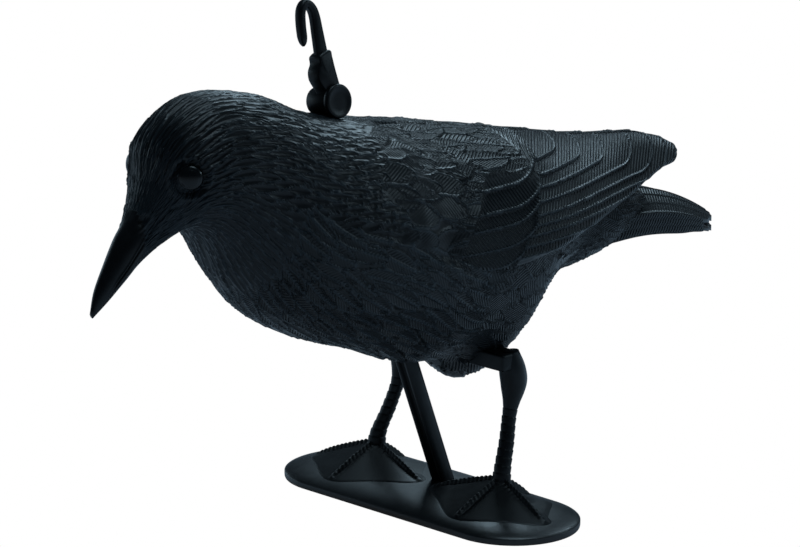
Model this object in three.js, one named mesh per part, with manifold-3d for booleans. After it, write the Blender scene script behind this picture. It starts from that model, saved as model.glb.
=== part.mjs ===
// A moulded plastic crow decoy on its own base plate, with a hanging hook on its back.
// Millimetres, +Z up. The beak points to -X, the tail to +X, and the bird's left side is -Y.
// The origin is the middle of the base plate's underside.
import * as THREE from 'three';
import { mergeVertices } from 'three/addons/utils/BufferGeometryUtils.js';
import Module from 'manifold-3d';

const wasm = await Module();
wasm.setup();

// Bird, from beak tip to tail end. Its pose and carving are drawn at one length and scale with this one.
const birdLength = 388;
const drawnLength = 388;
const trunkRings = 46;
const trunkSides = 30;

// Base plate: a domed plate with round ends, long side across the bird
const plateLength = 165;
const plateWidth = 62;
const plateRim = 2.7;
const plateCrown = 5.0;
const plateFall = 0.4;
const plateEdge = 0.98;
const plateSteps = [1, 0.98, 0.94, 0.87, 0.75, 0.55, 0.3];
const endFacets = 12;

// Feet, in plan round the ankle. Toe angles run from straight ahead towards the other foot. Toes and webs
// are drawn for one size of plate and scale with it.
const ankleHeight = 21;
const ankleBack = 5;
const toes = [
  { name: 'inner', drawn: 37, angle: 80 },
  { name: 'middle', drawn: 30, angle: 0 },
  { name: 'outer', drawn: 35, angle: -80 },
  { name: 'hind', drawn: 19, angle: 180 },
];
const drawnPlate = { length: 165, width: 62 };
const toeRise = 13;
const toeHalf = 3.0;
const toeEdge = 2;
const toeSharpness = 14;
const webDrawn = 22;
const webRise = 5.5;
const webBehind = 0.25;
const coneRadius = 7;
const footSink = 0.8;
const footSpokes = 36;
const footSteps = [1, 0.86, 0.72, 0.58, 0.45, 0.34, 0.24, 0.16, 0.09];

// Legs and the arms that plug into the belly
const hipHeight = 70.5;
const hipBack = 13;
const bellyHalf = 25.5;
const legGap = 10;
const legSplay = 4.5;
const armThickness = 8;
const armDepth = 12;
const armOutside = 3.6;
const armPlug = 14;
const legRings = 20;
const legSides = 10;
const scuteRise = 1.1;
const scuteTop = 48;

// Prop between the plate and the belly, an H-shaped bar
const propWidth = 7.4;
const propDepth = 7.2;
const propFlange = 1.7;
const propGroove = 2.0;
const propFootBack = 10.4;
const propLean = 21.2;
const propPlug = 23;
const seatFloor = 2.0;

// Hanger on the back: plug, barrel with a side disc, knuckle, and the bar that ends in the hook
const hookBack = -74;
const hookForward = 16.5;
const hookAside = 8;
const hookBar = 4.3;
const hookSides = 8;
const drumSides = 24;
const plugRadius = 4.4;
const plugDepth = 12;
const barrelRadius = 6.2;
const barrelLength = 12.5;
const barrelAside = -0.75;
const barrelRise = 7.2;
const discRadius = 7.5;
const discThickness = 2.8;
const knuckleRadius = 5.3;
const knuckleWidth = 7.6;
const knuckleAside = 2.5;
const knuckleRise = 19.6;

// Clearance all round where one piece sits in another
const fit = 0.3;

// Sections of the bird from beak tip to rump, back from the hips and up from the hips as drawn. Each lies
// in the plane through its top and bottom points. Half is its half width, and back and keel are the powers
// of its upper and lower half, where 2 is an ellipse.
const sections = [
  { name: 'beak tip', top: [-213.6, 56.3], bottom: [-212.6, 53.9], half: 0.9, back: 2.0, keel: 2.0 },
  { name: 'beak point', top: [-210.7, 65.2], bottom: [-204.9, 59.5], half: 3.1, back: 2.0, keel: 2.0 },
  { name: 'beak middle', top: [-204.9, 75.2], bottom: [-196.2, 66.4], half: 4.9, back: 2.0, keel: 2.0 },
  { name: 'beak back', top: [-198.7, 84.8], bottom: [-187.6, 73.3], half: 6.6, back: 2.0, keel: 2.0 },
  { name: 'beak root', top: [-191.7, 93.3], bottom: [-178.0, 80.3], half: 9.0, back: 2.0, keel: 2.0 },
  { name: 'face', top: [-184.8, 106.5], bottom: [-168.0, 85.3], half: 15.5, back: 2.0, keel: 2.0 },
  { name: 'eyes', top: [-177.0, 126.7], bottom: [-159.0, 83.9], half: 22.5, back: 2.1, keel: 2.0 },
  { name: 'crown', top: [-154.0, 139.5], bottom: [-150.6, 74.9], half: 27.0, back: 2.1, keel: 1.9 },
  { name: 'nape', top: [-122.0, 135.3], bottom: [-139.4, 56.3], half: 32.0, back: 2.1, keel: 1.9 },
  { name: 'neck', top: [-96.0, 124.1], bottom: [-124.0, 38.3], half: 39.0, back: 2.1, keel: 2.0 },
  { name: 'shoulder', top: [-67.0, 116.7], bottom: [-98.0, 23.5], half: 45.0, back: 2.1, keel: 2.0 },
  { name: 'breast', top: [-32.0, 110.3], bottom: [-65.0, 11.6], half: 49.0, back: 2.1, keel: 2.0 },
  { name: 'back', top: [-3.0, 103.3], bottom: [-39.0, 1.0], half: 49.5, back: 2.1, keel: 2.0 },
  { name: 'hips', top: [16.0, 98.9], bottom: [-17.0, -2.4], half: 48.0, back: 2.1, keel: 1.8 },
  { name: 'belly', top: [35.0, 94.0], bottom: [4.0, -14.9], half: 42.5, back: 2.1, keel: 1.6 },
  { name: 'vent', top: [61.0, 87.0], bottom: [21.5, 2.5], half: 33.5, back: 2.0, keel: 1.6 },
  { name: 'rump', top: [86.0, 76.5], bottom: [43.0, 21.0], half: 27.5, back: 2.0, keel: 1.8 },
  { name: 'tail root', top: [108.0, 61.5], bottom: [71.0, 28.0], half: 25.0, back: 2.0, keel: 2.0 },
  { name: 'rump end', top: [127.0, 49.5], bottom: [115.0, 37.5], half: 14.0, back: 2.0, keel: 2.0 },
];

// Folded wing: its edge along the back, its lower edge, how far it swells out between them, and how thick
// it is. Across and up are as drawn, and the wing is mirrored for the other side.
const wingSections = [
  { name: 'shoulder', at: -76.0, crest: [7, 116.5], low: [40, 60.5], swell: 8.5, thick: 7 },
  { name: 'coverts', at: -43.0, crest: [5, 112.7], low: [48.5, 52.5], swell: 11.5, thick: 8 },
  { name: 'wing middle', at: -13.0, crest: [4, 107.1], low: [52.5, 48.0], swell: 12.5, thick: 8 },
  { name: 'secondaries', at: 22.0, crest: [3.5, 100.1], low: [51.0, 51.5], swell: 12.0, thick: 8 },
  { name: 'primaries', at: 47.0, crest: [3, 94.9], low: [45, 55.0], swell: 9.5, thick: 8 },
  { name: 'over rump', at: 72.0, crest: [2.5, 89.3], low: [36.5, 57.5], swell: 7.0, thick: 7.5 },
  { name: 'free blade', at: 97.0, crest: [2.2, 85.3], low: [27.5, 60.5], swell: 4.8, thick: 6.5 },
  { name: 'wing end', at: 121.0, crest: [2.5, 82.1], low: [21, 66.0], swell: 3.2, thick: 5.5 },
  { name: 'wing tip', at: 134.8, crest: [4, 78.5], low: [17.5, 67.1], swell: 2.0, thick: 4.5 },
  { name: 'wing point', at: 142.4, crest: [8, 73.9], low: [13, 69.5], swell: 0.6, thick: 2.0 },
];
const wingRings = 26;
const wingSteps = 9;

// Tail: a fan like a low roof whose ridge starts level and droops towards its rounded end
const tailSections = [
  { name: 'under wings', at: 52.0, half: 17.0, thick: 18 },
  { name: 'tail coverts', at: 90.0, half: 23.0, thick: 15 },
  { name: 'tail middle', at: 129.0, half: 22.5, thick: 14 },
  { name: 'tail feathers', at: 151.0, half: 21.5, thick: 10.5 },
  { name: 'tail end', at: 175.0, half: 20.5, thick: 7.5 },
];
const tailHigh = { at: 90, up: 57.2 };
const tailDroop = 24;
const tailBend = 2.2;
const tailRoof = 9;
const tailRounding = 22;
const tailFeathers = 7;
const tailNotch = 2.2;
const tailRings = 12;

// Eyes: where along the trunk's rings and how far round them, in degrees
const eyeAlong = 0.318;
const eyeTurn = 22;
const eyeRadius = 5.6;
const eyeHeight = 3.4;
const eyeDeep = 2.2;

const share = (value) => (value * birdLength) / drawnLength;
const vector = (x, y, z) => new THREE.Vector3(x, y, z);
const radians = THREE.MathUtils.degToRad;
const legOffset = share(bellyHalf) + legGap;
const footSize = Math.min(plateLength / drawnPlate.length, plateWidth / drawnPlate.width);
const webRadius = webDrawn * footSize;
const toeLength = (toe) => toe.drawn * footSize;

// A point as drawn, back from, across and up from the hips, in the part's frame
function fromHips(back, across, up) {
  return vector(hipBack + share(back), share(across), hipHeight + share(up));
}

// A curve through numbers picked from named rows, evenly in the rows' order
function smooth(rows, pick) {
  const points = rows.map((row) => vector(...pick(row)));
  const curve = new THREE.CatmullRomCurve3(points, false, 'catmullrom', 0.5);
  return (along) => curve.getPoint(along);
}

// A sine or cosine bent so that an ellipse becomes a superellipse of a power
function rounded(value, power) {
  return Math.sign(value) * Math.abs(value) ** (2 / power);
}

// Closed surface through rings of points that all have the same count, with a fan over each end
function loft(rings) {
  const count = rings[0].length;
  const points = rings.flat();
  const index = [];
  for (let i = 0; i + 1 < rings.length; i += 1) {
    for (let j = 0; j < count; j += 1) {
      const a = i * count + j;
      const b = i * count + ((j + 1) % count);
      index.push(a, b, a + count, b, b + count, a + count);
    }
  }
  for (const start of [0, (rings.length - 1) * count]) {
    const middle = vector(0, 0, 0);
    points.slice(start, start + count).forEach((p) => middle.addScaledVector(p, 1 / count));
    const hub = points.push(middle) - 1;
    for (let j = 0; j < count; j += 1) {
      const a = start + j;
      const b = start + ((j + 1) % count);
      index.push(...(start === 0 ? [hub, b, a] : [hub, a, b]));
    }
  }
  const geometry = new THREE.BufferGeometry().setFromPoints(points);
  geometry.setIndex(index);
  return geometry;
}

// Solid of a closed geometry, turned right side out if its rings ran the other way
function solidOf(geometry) {
  const bare = geometry.clone();
  bare.deleteAttribute('normal');
  bare.deleteAttribute('uv');
  const merged = mergeVertices(bare, 1e-4);
  const corners = merged.attributes.position;
  const triVerts = new Uint32Array(merged.index.array);
  const [a, b, c] = [vector(), vector(), vector()];
  let volume = 0;
  for (let i = 0; i < triVerts.length; i += 3) {
    a.fromBufferAttribute(corners, triVerts[i]);
    b.fromBufferAttribute(corners, triVerts[i + 1]);
    c.fromBufferAttribute(corners, triVerts[i + 2]);
    volume += a.dot(b.cross(c));
  }
  if (volume < 0) triVerts.reverse();
  const mesh = new wasm.Mesh({
    numProp: 3,
    vertProperties: new Float32Array(corners.array),
    triVerts,
  });
  return new wasm.Manifold(mesh);
}

// Named mesh of a solid
function meshOf(name, solid, material) {
  const { vertProperties, triVerts } = solid.getMesh();
  const geometry = new THREE.BufferGeometry();
  geometry.setAttribute('position', new THREE.BufferAttribute(vertProperties, 3));
  geometry.setIndex(new THREE.BufferAttribute(triVerts, 1));
  geometry.computeVertexNormals();
  const mesh = new THREE.Mesh(geometry, material);
  mesh.name = name;
  return mesh;
}

const united = (solids) => solids.reduce((sum, solid) => sum.add(solid));

const crestLine = smooth(sections, (s) => [s.top[0], 0, s.top[1]]);
const keelLine = smooth(sections, (s) => [s.bottom[0], 0, s.bottom[1]]);
const girth = smooth(sections, (s) => [s.half, s.back, s.keel]);

// A point of the trunk: along it from beak to rump, and round its section from the +Y side over the back
function trunkPoint(along, turn) {
  const { x: half, y: back, z: keel } = girth(along);
  const power = Math.sin(turn) > 0 ? back : keel;
  const rise = 0.5 + 0.5 * rounded(Math.sin(turn), power);
  const point = vector().lerpVectors(keelLine(along), crestLine(along), rise);
  return fromHips(point.x, half * rounded(Math.cos(turn), power), point.z);
}

// Head, neck and trunk: superellipse rings carried through the sections
function trunk() {
  const rings = [];
  for (let i = 0; i <= trunkRings; i += 1) {
    const ring = [];
    for (let j = 0; j < trunkSides; j += 1) {
      ring.push(trunkPoint(i / trunkRings, (j / trunkSides) * 2 * Math.PI));
    }
    rings.push(ring);
  }
  return solidOf(loft(rings));
}

// One folded wing: an arc from the crest to the lower edge, and the same arc moved inwards
function wing(side) {
  const crest = smooth(wingSections, (w) => [w.at, w.crest[0], w.crest[1]]);
  const low = smooth(wingSections, (w) => [w.at, w.low[0], w.low[1]]);
  const body = smooth(wingSections, (w) => [w.swell, w.thick, 0]);
  const rings = [];
  for (let i = 0; i <= wingRings; i += 1) {
    const along = i / wingRings;
    const from = crest(along);
    const to = low(along);
    const { x: swell, y: thick } = body(along);
    const outward = vector(0, from.z - to.z, to.y - from.y).normalize();
    const outer = [];
    const inner = [];
    for (let j = 0; j <= wingSteps; j += 1) {
      const across = j / wingSteps;
      const bulge = 4 * swell * across * (1 - across);
      const point = vector().lerpVectors(from, to, across);
      outer.push(point.clone().addScaledVector(outward, bulge));
      inner.push(point.clone().addScaledVector(outward, bulge - thick));
    }
    rings.push([...outer, ...inner.reverse()].map((p) => fromHips(p.x, side * p.y, p.z)));
  }
  return solidOf(loft(rings));
}

// Tail fan: rings across it, whose sides end sooner than its middle, with a notch between feather ends
function tail() {
  const steps = 2 * tailFeathers;
  const line = smooth(tailSections, (t) => [t.at, t.half, t.thick]);
  const reach = tailSections.at(-1).at - tailHigh.at;
  const rings = [];
  for (let i = 0; i <= tailRings; i += 1) {
    const along = i / tailRings;
    const { x: at, y: half, z: thick } = line(along);
    const over = [];
    const under = [];
    for (let j = 0; j <= steps; j += 1) {
      const across = (2 * j) / steps - 1;
      const notch = j % 2 === 0 ? tailNotch * along ** 12 : 0;
      const back = at - tailRounding * across ** 2 * along ** 4 - notch;
      const droop = tailDroop * Math.max((back - tailHigh.at) / reach, 0) ** tailBend;
      const up = tailHigh.up - droop - tailRoof * Math.abs(across) ** 1.5;
      over.push(fromHips(back, half * across, up));
      under.push(fromHips(back, half * across, up - thick * (1 - 0.25 * across ** 4)));
    }
    rings.push([...over, ...under.reverse()]);
  }
  return solidOf(loft(rings));
}

// Eye: a flattened ball sunk into the side of the head, square to its surface
function eye(side) {
  const turn = radians(eyeTurn);
  const place = trunkPoint(eyeAlong, turn);
  const ahead = trunkPoint(eyeAlong - 0.02, turn).sub(place);
  const over = trunkPoint(eyeAlong, turn + 0.1).sub(place);
  const normal = vector().crossVectors(over, ahead).normalize();
  if (normal.y < 0) normal.negate();
  place.addScaledVector(normal, -share(eyeDeep));
  place.y *= side;
  normal.y *= side;
  const ball = new THREE.SphereGeometry(share(eyeRadius), 14, 8);
  ball.scale(1, eyeHeight / eyeRadius, 1);
  ball.applyQuaternion(new THREE.Quaternion().setFromUnitVectors(vector(0, 1, 0), normal));
  return solidOf(ball.translate(place.x, place.y, place.z));
}

// Height of the domed plate over a point of its plan
function plateTop(x, y) {
  const radius = plateWidth / 2;
  const spine = THREE.MathUtils.clamp(y, radius - plateLength / 2, plateLength / 2 - radius);
  const out = Math.min(Math.hypot(x, y - spine) / radius, 1);
  const crown = plateCrown * (1 - plateFall * ((2 * y) / plateLength) ** 2);
  return plateRim + crown * (1 - out ** 3) ** 0.6;
}

// Plan outline of the plate, drawn in by a share of its half width
function plateRing(out, z) {
  const radius = plateWidth / 2;
  const reach = plateLength / 2 - radius;
  const points = [];
  for (const side of [1, -1]) {
    for (let i = 0; i <= endFacets; i += 1) {
      const turn = (i / endFacets) * Math.PI;
      const x = side * radius * out * Math.cos(turn);
      const y = side * (reach + radius * out * Math.sin(turn));
      points.push(vector(x, y, z ?? plateTop(x, y)));
    }
  }
  return points;
}

// Plate: its flat underside, its rounded lip and its dome
function plate() {
  const underside = [plateRing(plateEdge / 2, 0), plateRing(plateEdge, 0), plateRing(1, plateRim / 2)];
  return solidOf(loft([...underside, ...plateSteps.map((step) => plateRing(step))]));
}

// Foot: an ankle cone, four toe ridges and the webs between the front ones, over the plate's dome
function foot(side) {
  const middle = legOffset + legSplay;
  const hubHeight = ankleHeight - plateTop(ankleBack, middle);
  const rings = footSteps.map((step) => {
    const ring = [];
    for (let i = 0; i < footSpokes; i += 1) {
      const turn = (i / footSpokes) * 2 * Math.PI;
      const radius = step * footReach(turn);
      const x = ankleBack - radius * Math.cos(turn);
      const y = side * (middle - radius * Math.sin(turn));
      const rise = step === 1 ? -footSink : footRise(radius, turn, hubHeight);
      ring.push(vector(x, y, plateTop(x, y) + rise));
    }
    return ring;
  });
  const base = rings[0].map((p) => vector(p.x, p.y, plateRim / 2));
  return solidOf(loft([base, ...rings]));
}

// How far the foot reaches out of the ankle towards a bearing
function footReach(turn) {
  return toes.reduce((reach, toe) => {
    const apart = Math.cos(turn - radians(toe.angle));
    return reach + (toeLength(toe) + toeEdge - webRadius) * Math.exp(-toeSharpness * (1 - apart));
  }, webRadius);
}

// Height of the foot over the plate
function footRise(radius, turn, hubHeight) {
  const cone = hubHeight * Math.exp(-((radius / coneRadius) ** 1.25));
  const ridges = toes.map((toe) => {
    const apart = turn - radians(toe.angle);
    const along = radius * Math.cos(apart);
    const aside = radius * Math.sin(apart);
    const slope = 1 - (along / toeLength(toe)) ** 2;
    return along < 0 ? 0 : toeRise * Math.max(slope, 0) * Math.exp(-((aside / toeHalf) ** 2));
  });
  const fullness = Math.cos(turn) > 0.1 ? 1 : webBehind;
  const web = webRise * fullness * Math.max(0, 1 - radius / footReach(turn));
  return Math.max(cone, ...ridges, web);
}

// Leg sections up from the ankle: centre back from the plate's middle, height, share of the splay, and
// radii fore-aft and across
const legSections = [
  { name: 'ankle', back: 5.2, up: 13, splay: 1, fore: 4.6, across: 4.6 },
  { name: 'over ankle', back: 6.4, up: 22, splay: 0.95, fore: 3.9, across: 3.8 },
  { name: 'shank', back: 11.0, up: 33, splay: 0.5, fore: 3.5, across: 3.4 },
  { name: 'shank top', back: 14.4, up: 43, splay: 0.1, fore: 3.3, across: 3.2 },
  { name: 'hock', back: 16.2, up: 49, splay: 0, fore: 3.8, across: 3.5 },
  { name: 'calf', back: 18.4, up: 58, splay: 0, fore: 6.4, across: 5.4 },
  { name: 'thigh', back: 17.4, up: 66, splay: 0, fore: 6.6, across: 5.4 },
  { name: 'hip', back: 15.4, up: 74.5, splay: 0, fore: 4.6, across: 3.6 },
];

// Leg: rings up its curved centre line, every other one of the shank a little wider as its scutes
function leg(side) {
  const [foot, hip] = [legSections[0].up, legSections.at(-1).up];
  const stretch = (hipHeight + armThickness / 2 - foot) / (hip - foot);
  const line = smooth(legSections, (s) => [s.back, legOffset + legSplay * s.splay, s.up]);
  const girths = smooth(legSections, (s) => [s.fore, s.across, 0]);
  const rings = [];
  for (let i = 0; i <= legRings; i += 1) {
    const along = i / legRings;
    const centre = line(along);
    const { x: fore, y: across } = girths(along);
    const scute = centre.z < scuteTop && i % 2 === 1 ? scuteRise : 1;
    const ring = [];
    for (let j = 0; j < legSides; j += 1) {
      const turn = (j / legSides) * 2 * Math.PI;
      const x = centre.x + fore * scute * Math.cos(turn);
      const y = centre.y + across * scute * Math.sin(turn);
      ring.push(vector(x, side * y, foot + (centre.z - foot) * stretch));
    }
    rings.push(ring);
  }
  return solidOf(loft(rings));
}

// Arm from the top of a leg into the belly, grown all round for its socket
function arm(side, grown = 0) {
  const inner = legOffset - legGap - armPlug - grown;
  const outer = legOffset + armOutside + grown;
  const box = new THREE.BoxGeometry(armDepth + 2 * grown, outer - inner, armThickness + 2 * grown);
  return solidOf(box.translate(hipBack, (side * (inner + outer)) / 2, hipHeight));
}

// The prop's H outline, drawn across and fore-aft, or its plain outline grown for a socket
function propOutline(grown) {
  const across = propWidth / 2 + grown;
  const fore = propDepth / 2 + grown;
  const outline = new THREE.Shape();
  outline.moveTo(-across, -fore);
  if (grown === 0) {
    outline.lineTo(-across + propFlange, -fore);
    outline.lineTo(-across + propFlange, -fore + propGroove);
    outline.lineTo(across - propFlange, -fore + propGroove);
    outline.lineTo(across - propFlange, -fore);
  }
  outline.lineTo(across, -fore);
  outline.lineTo(across, fore);
  if (grown === 0) {
    outline.lineTo(across - propFlange, fore);
    outline.lineTo(across - propFlange, fore - propGroove);
    outline.lineTo(-across + propFlange, fore - propGroove);
    outline.lineTo(-across + propFlange, fore);
  }
  outline.lineTo(-across, fore);
  outline.closePath();
  return outline;
}

// The prop leans forward from its foot on the plate. A grown one is the cut for its sockets.
function prop(grown = 0) {
  const lean = radians(propLean);
  const lift = seatFloor + (propDepth / 2) * Math.sin(lean) + fit;
  const length = (hipHeight + propPlug - lift) / Math.cos(lean) + 2 * grown;
  const bar = new THREE.ExtrudeGeometry(propOutline(grown), { depth: length, bevelEnabled: false });
  bar.translate(0, 0, -grown);
  const along = vector(-Math.sin(lean), 0, Math.cos(lean));
  const across = vector(0, 1, 0);
  const fore = vector().crossVectors(along, across);
  const turn = new THREE.Matrix4().makeBasis(across, fore, along);
  turn.setPosition(propFootBack, 0, lift);
  return solidOf(bar.applyMatrix4(turn));
}

// The hanger's own axes: side along the barrel to the disc, rise up the bar, ahead towards the beak
function hangerFrame() {
  const rise = vector(
    -Math.sin(radians(hookForward)) * Math.cos(radians(hookAside)),
    Math.sin(radians(hookAside)),
    Math.cos(radians(hookForward)) * Math.cos(radians(hookAside)),
  );
  const ahead = vector(-1, 0, 0).addScaledVector(rise, rise.x).normalize();
  const side = vector().crossVectors(rise, ahead).normalize();
  ahead.crossVectors(side, rise);
  return new THREE.Matrix4().makeBasis(ahead, side, rise).setPosition(hangerFoot());
}

// Where the crest of the back passes under the hanger
function hangerFoot() {
  let [low, high] = [0, 1];
  for (let i = 0; i < 40; i += 1) {
    const middle = (low + high) / 2;
    if (crestLine(middle).x < hookBack) low = middle;
    else high = middle;
  }
  return fromHips(hookBack, 0, crestLine(low).z);
}

// Cylinder about the hanger's side axis, between two places along it and some way up
function sideCylinder(radius, from, to, rise) {
  const drum = new THREE.CylinderGeometry(radius, radius, to - from, drumSides);
  return solidOf(drum.translate(0, (from + to) / 2, rise));
}

// Plug that goes down into the back, grown all round for its socket
function hangerPlug(grown = 0) {
  const depth = plugDepth + grown;
  const radius = plugRadius + grown;
  const plug = new THREE.CylinderGeometry(radius, radius, depth + barrelRise, drumSides);
  return solidOf(plug.rotateX(Math.PI / 2).translate(0, 0, (barrelRise - depth) / 2));
}

// Barrel and its side disc, which sink a little into the back
function hangerBarrel(grown = 0) {
  const [from, to] = [barrelAside - barrelLength / 2, barrelAside + barrelLength / 2];
  const disc = [to - grown, to + discThickness + grown];
  return sideCylinder(barrelRadius + grown, from - grown, to + grown, barrelRise)
    .add(sideCylinder(discRadius + grown, ...disc, barrelRise));
}

// Centre line of the bar and hook, ahead and up from the middle of the knuckle
const hookLine = [
  { name: 'neck', ahead: -1.5, rise: 0, width: 7.0 },
  { name: 'bar foot', ahead: -3.0, rise: 8, width: 6.4 },
  { name: 'bar middle', ahead: -4.8, rise: 17, width: 5.4 },
  { name: 'bar top', ahead: -6.4, rise: 25.4, width: 4.4 },
  { name: 'bend back', ahead: -5.8, rise: 29.8, width: 4.0 },
  { name: 'bend top', ahead: -3.4, rise: 32.6, width: 3.8 },
  { name: 'bend front', ahead: 0.0, rise: 30.4, width: 3.8 },
  { name: 'hook arm', ahead: 2.6, rise: 24.4, width: 3.8 },
  { name: 'hook tip', ahead: 4.8, rise: 15.8, width: 3.6 },
];

// The bar and hook, drawn as eight-sided rings along their centre line
function hookBarSolid() {
  const rings = hookLine.map((point, i) => {
    const before = hookLine[Math.max(i - 1, 0)];
    const after = hookLine[Math.min(i + 1, hookLine.length - 1)];
    const along = vector(after.ahead - before.ahead, 0, after.rise - before.rise).normalize();
    const edge = vector(along.z, 0, -along.x);
    const ring = [];
    for (let j = 0; j < hookSides; j += 1) {
      const turn = ((j + 0.5) / hookSides) * 2 * Math.PI;
      const out = (point.width / 2) * Math.cos(turn);
      const aside = knuckleAside + (hookBar / 2) * Math.sin(turn);
      ring.push(vector(point.ahead + edge.x * out, aside, knuckleRise + point.rise + edge.z * out));
    }
    return ring;
  });
  return solidOf(loft(rings));
}

// Hanger in one piece: plug, barrel, the plate up to the knuckle, and the hook
function hanger() {
  const sides = [knuckleAside - knuckleWidth / 2, knuckleAside + knuckleWidth / 2];
  const knuckle = sideCylinder(knuckleRadius, ...sides, knuckleRise);
  const web = new THREE.BoxGeometry(knuckleRadius * 1.8, knuckleWidth, knuckleRise - barrelRise);
  web.translate(0, knuckleAside, (knuckleRise + barrelRise) / 2);
  const solid = united([hangerPlug(), hangerBarrel(), knuckle, solidOf(web), hookBarSolid()]);
  return solid.transform(hangerFrame().elements);
}

// The bird in one piece, with a socket for each arm, the prop and the hanger
function body() {
  const hanging = hangerPlug(fit).add(hangerBarrel(fit)).transform(hangerFrame().elements);
  const bird = united([trunk(), wing(1), wing(-1), tail(), eye(1), eye(-1)]);
  return [arm(1, fit), arm(-1, fit), prop(fit), hanging].reduce((rest, cut) => rest.subtract(cut), bird);
}

// Plate, feet, legs and arms in one piece, with a seat for the prop
function stand() {
  const whole = united([plate(), ...[1, -1].flatMap((side) => [foot(side), leg(side), arm(side)])]);
  return whole.subtract(prop(fit));
}

const plastic = new THREE.MeshStandardMaterial({ color: 0x14171a, roughness: 0.45, metalness: 0 });
const standPlastic = new THREE.MeshStandardMaterial({ color: 0x121416, roughness: 0.35, metalness: 0 });

const crow = new THREE.Group();
crow.add(meshOf('body', body(), plastic));
crow.add(meshOf('stand', stand(), standPlastic));
crow.add(meshOf('prop', prop(), standPlastic));
crow.add(meshOf('hanger', hanger(), standPlastic));

export default crow;
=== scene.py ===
"""Looks of a moulded plastic crow on its base plate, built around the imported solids.

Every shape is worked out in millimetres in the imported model's frame: +Z up, the beak towards -X,
the bird's left side towards -Y and the origin in the middle of the base plate's underside.
"""
import logging
import math
from dataclasses import dataclass, field, replace
from enum import Enum
from typing import Any

import bpy
import numpy as np
from mathutils import Matrix


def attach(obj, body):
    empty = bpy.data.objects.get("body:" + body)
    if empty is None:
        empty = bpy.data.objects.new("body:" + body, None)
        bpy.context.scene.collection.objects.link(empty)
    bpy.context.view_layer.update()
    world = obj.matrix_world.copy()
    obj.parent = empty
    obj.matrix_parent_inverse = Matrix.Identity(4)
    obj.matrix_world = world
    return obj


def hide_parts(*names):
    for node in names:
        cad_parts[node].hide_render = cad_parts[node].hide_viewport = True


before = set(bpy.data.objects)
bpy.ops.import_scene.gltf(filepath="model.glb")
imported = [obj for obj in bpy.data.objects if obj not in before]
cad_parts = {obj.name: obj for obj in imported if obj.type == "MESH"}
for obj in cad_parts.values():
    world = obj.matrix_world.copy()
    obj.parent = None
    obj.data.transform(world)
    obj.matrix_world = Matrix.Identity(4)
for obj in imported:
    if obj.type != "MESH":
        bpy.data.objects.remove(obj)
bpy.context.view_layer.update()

Array = np.ndarray
Pair = tuple[float, float]
Triple = tuple[float, float, float]
Rows = tuple[tuple[float, ...], ...]
METRE = 0.001
# The distance to a feather's outline where there is none near.
FAR = 6.0
# What the finish reads at each point, and its value where nothing is carved.
PLAIN = {"phase": 0.0, "barb": 0.0, "lift": 0.0, "edge": FAR}
# Rows and columns after which the feathers' chances repeat.
DICE = (97, 89)
LOG = logging.getLogger("crow")


class Side(Enum):
    """Which side of the bird a piece is on, with the sign of Y there."""

    LEFT = -1
    RIGHT = 1

    def mirrored(self, points: Array) -> Array:
        """Points drawn on the right side, on this side."""
        return points * np.array([1, self.value, 1])

    def named(self, what: str) -> str:
        """The name of a piece on this side."""
        return f"{self.name.lower()}_{what}"


# Sums on whole arrays.


def spline(rows: Array, along: Array) -> Array:
    """Catmull-Rom curve with half tension through rows that are spaced evenly in their order.

    Args:
        rows: one point per row.
        along: places from 0, the first row, to 1, the last.

    Returns:
        The curve's points: a cubic between each two rows whose slope at a row is half the
        difference of its neighbours.
    """
    rows = np.asarray(rows, float)
    padded = np.vstack([2 * rows[0] - rows[1], rows, 2 * rows[-1] - rows[-2]])
    place = np.clip(np.asarray(along, float), 0, 1) * (len(rows) - 1)
    cell = np.minimum(place.astype(int), len(rows) - 2)
    t = (place - cell)[..., None]
    p0, p1, p2, p3 = (padded[cell + k] for k in range(4))
    m1, m2 = (p2 - p0) / 2, (p3 - p1) / 2
    return (p1 + m1 * t + (-3 * p1 + 3 * p2 - 2 * m1 - m2) * t**2
            + (2 * p1 - 2 * p2 + m1 + m2) * t**3)


def step(low: float, high: float, value: Array) -> Array:
    """Smooth step: 0 below low, 1 above high, and 3t^2 - 2t^3 of the share between them."""
    t = np.clip((value - low) / (high - low), 0, 1)
    return t * t * (3 - 2 * t)


def bell(value: Array, width: float) -> Array:
    """Bell curve of a value: e to the minus of the square of value over width."""
    return np.exp(-((value / width) ** 2))


def bent(value: Array, power: Array) -> Array:
    """A sine or cosine with its size raised to 2 / power, which turns a circle superelliptic."""
    return np.sign(value) * np.abs(value) ** (2 / power)


def unit(vectors: Array) -> Array:
    """Vectors over their own length."""
    return vectors / np.maximum(np.linalg.norm(vectors, axis=-1, keepdims=True), 1e-9)


def stacked(x: Array, y: Array, z: Array) -> Array:
    """Points from three coordinates, each spread over the shape that they share."""
    return np.stack(np.broadcast_arrays(x, y, z), -1)


def full_turn(count: int) -> Array:
    """Angles once round, as the one row of a grid."""
    return np.linspace(0, 2 * math.pi, count, endpoint=False)[None, :]


def normals_of(points: Array, ring: bool) -> Array:
    """Unit normals of a grid of points: the cross product of its two differences.

    Args:
        points: grid of rows by columns by three.
        ring: whether the columns run round and meet.

    Returns:
        One unit vector for each point.
    """
    if ring:
        around = (np.roll(points, -1, 1) - np.roll(points, 1, 1)) / 2
    else:
        around = np.gradient(points, axis=1)
    return unit(np.cross(np.gradient(points, axis=0), around))


def facing(normals: Array, away: Array) -> Array:
    """Normals, all turned over if they point against a direction on the whole."""
    return normals if (normals * away).sum(-1).mean() > 0 else -normals


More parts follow.
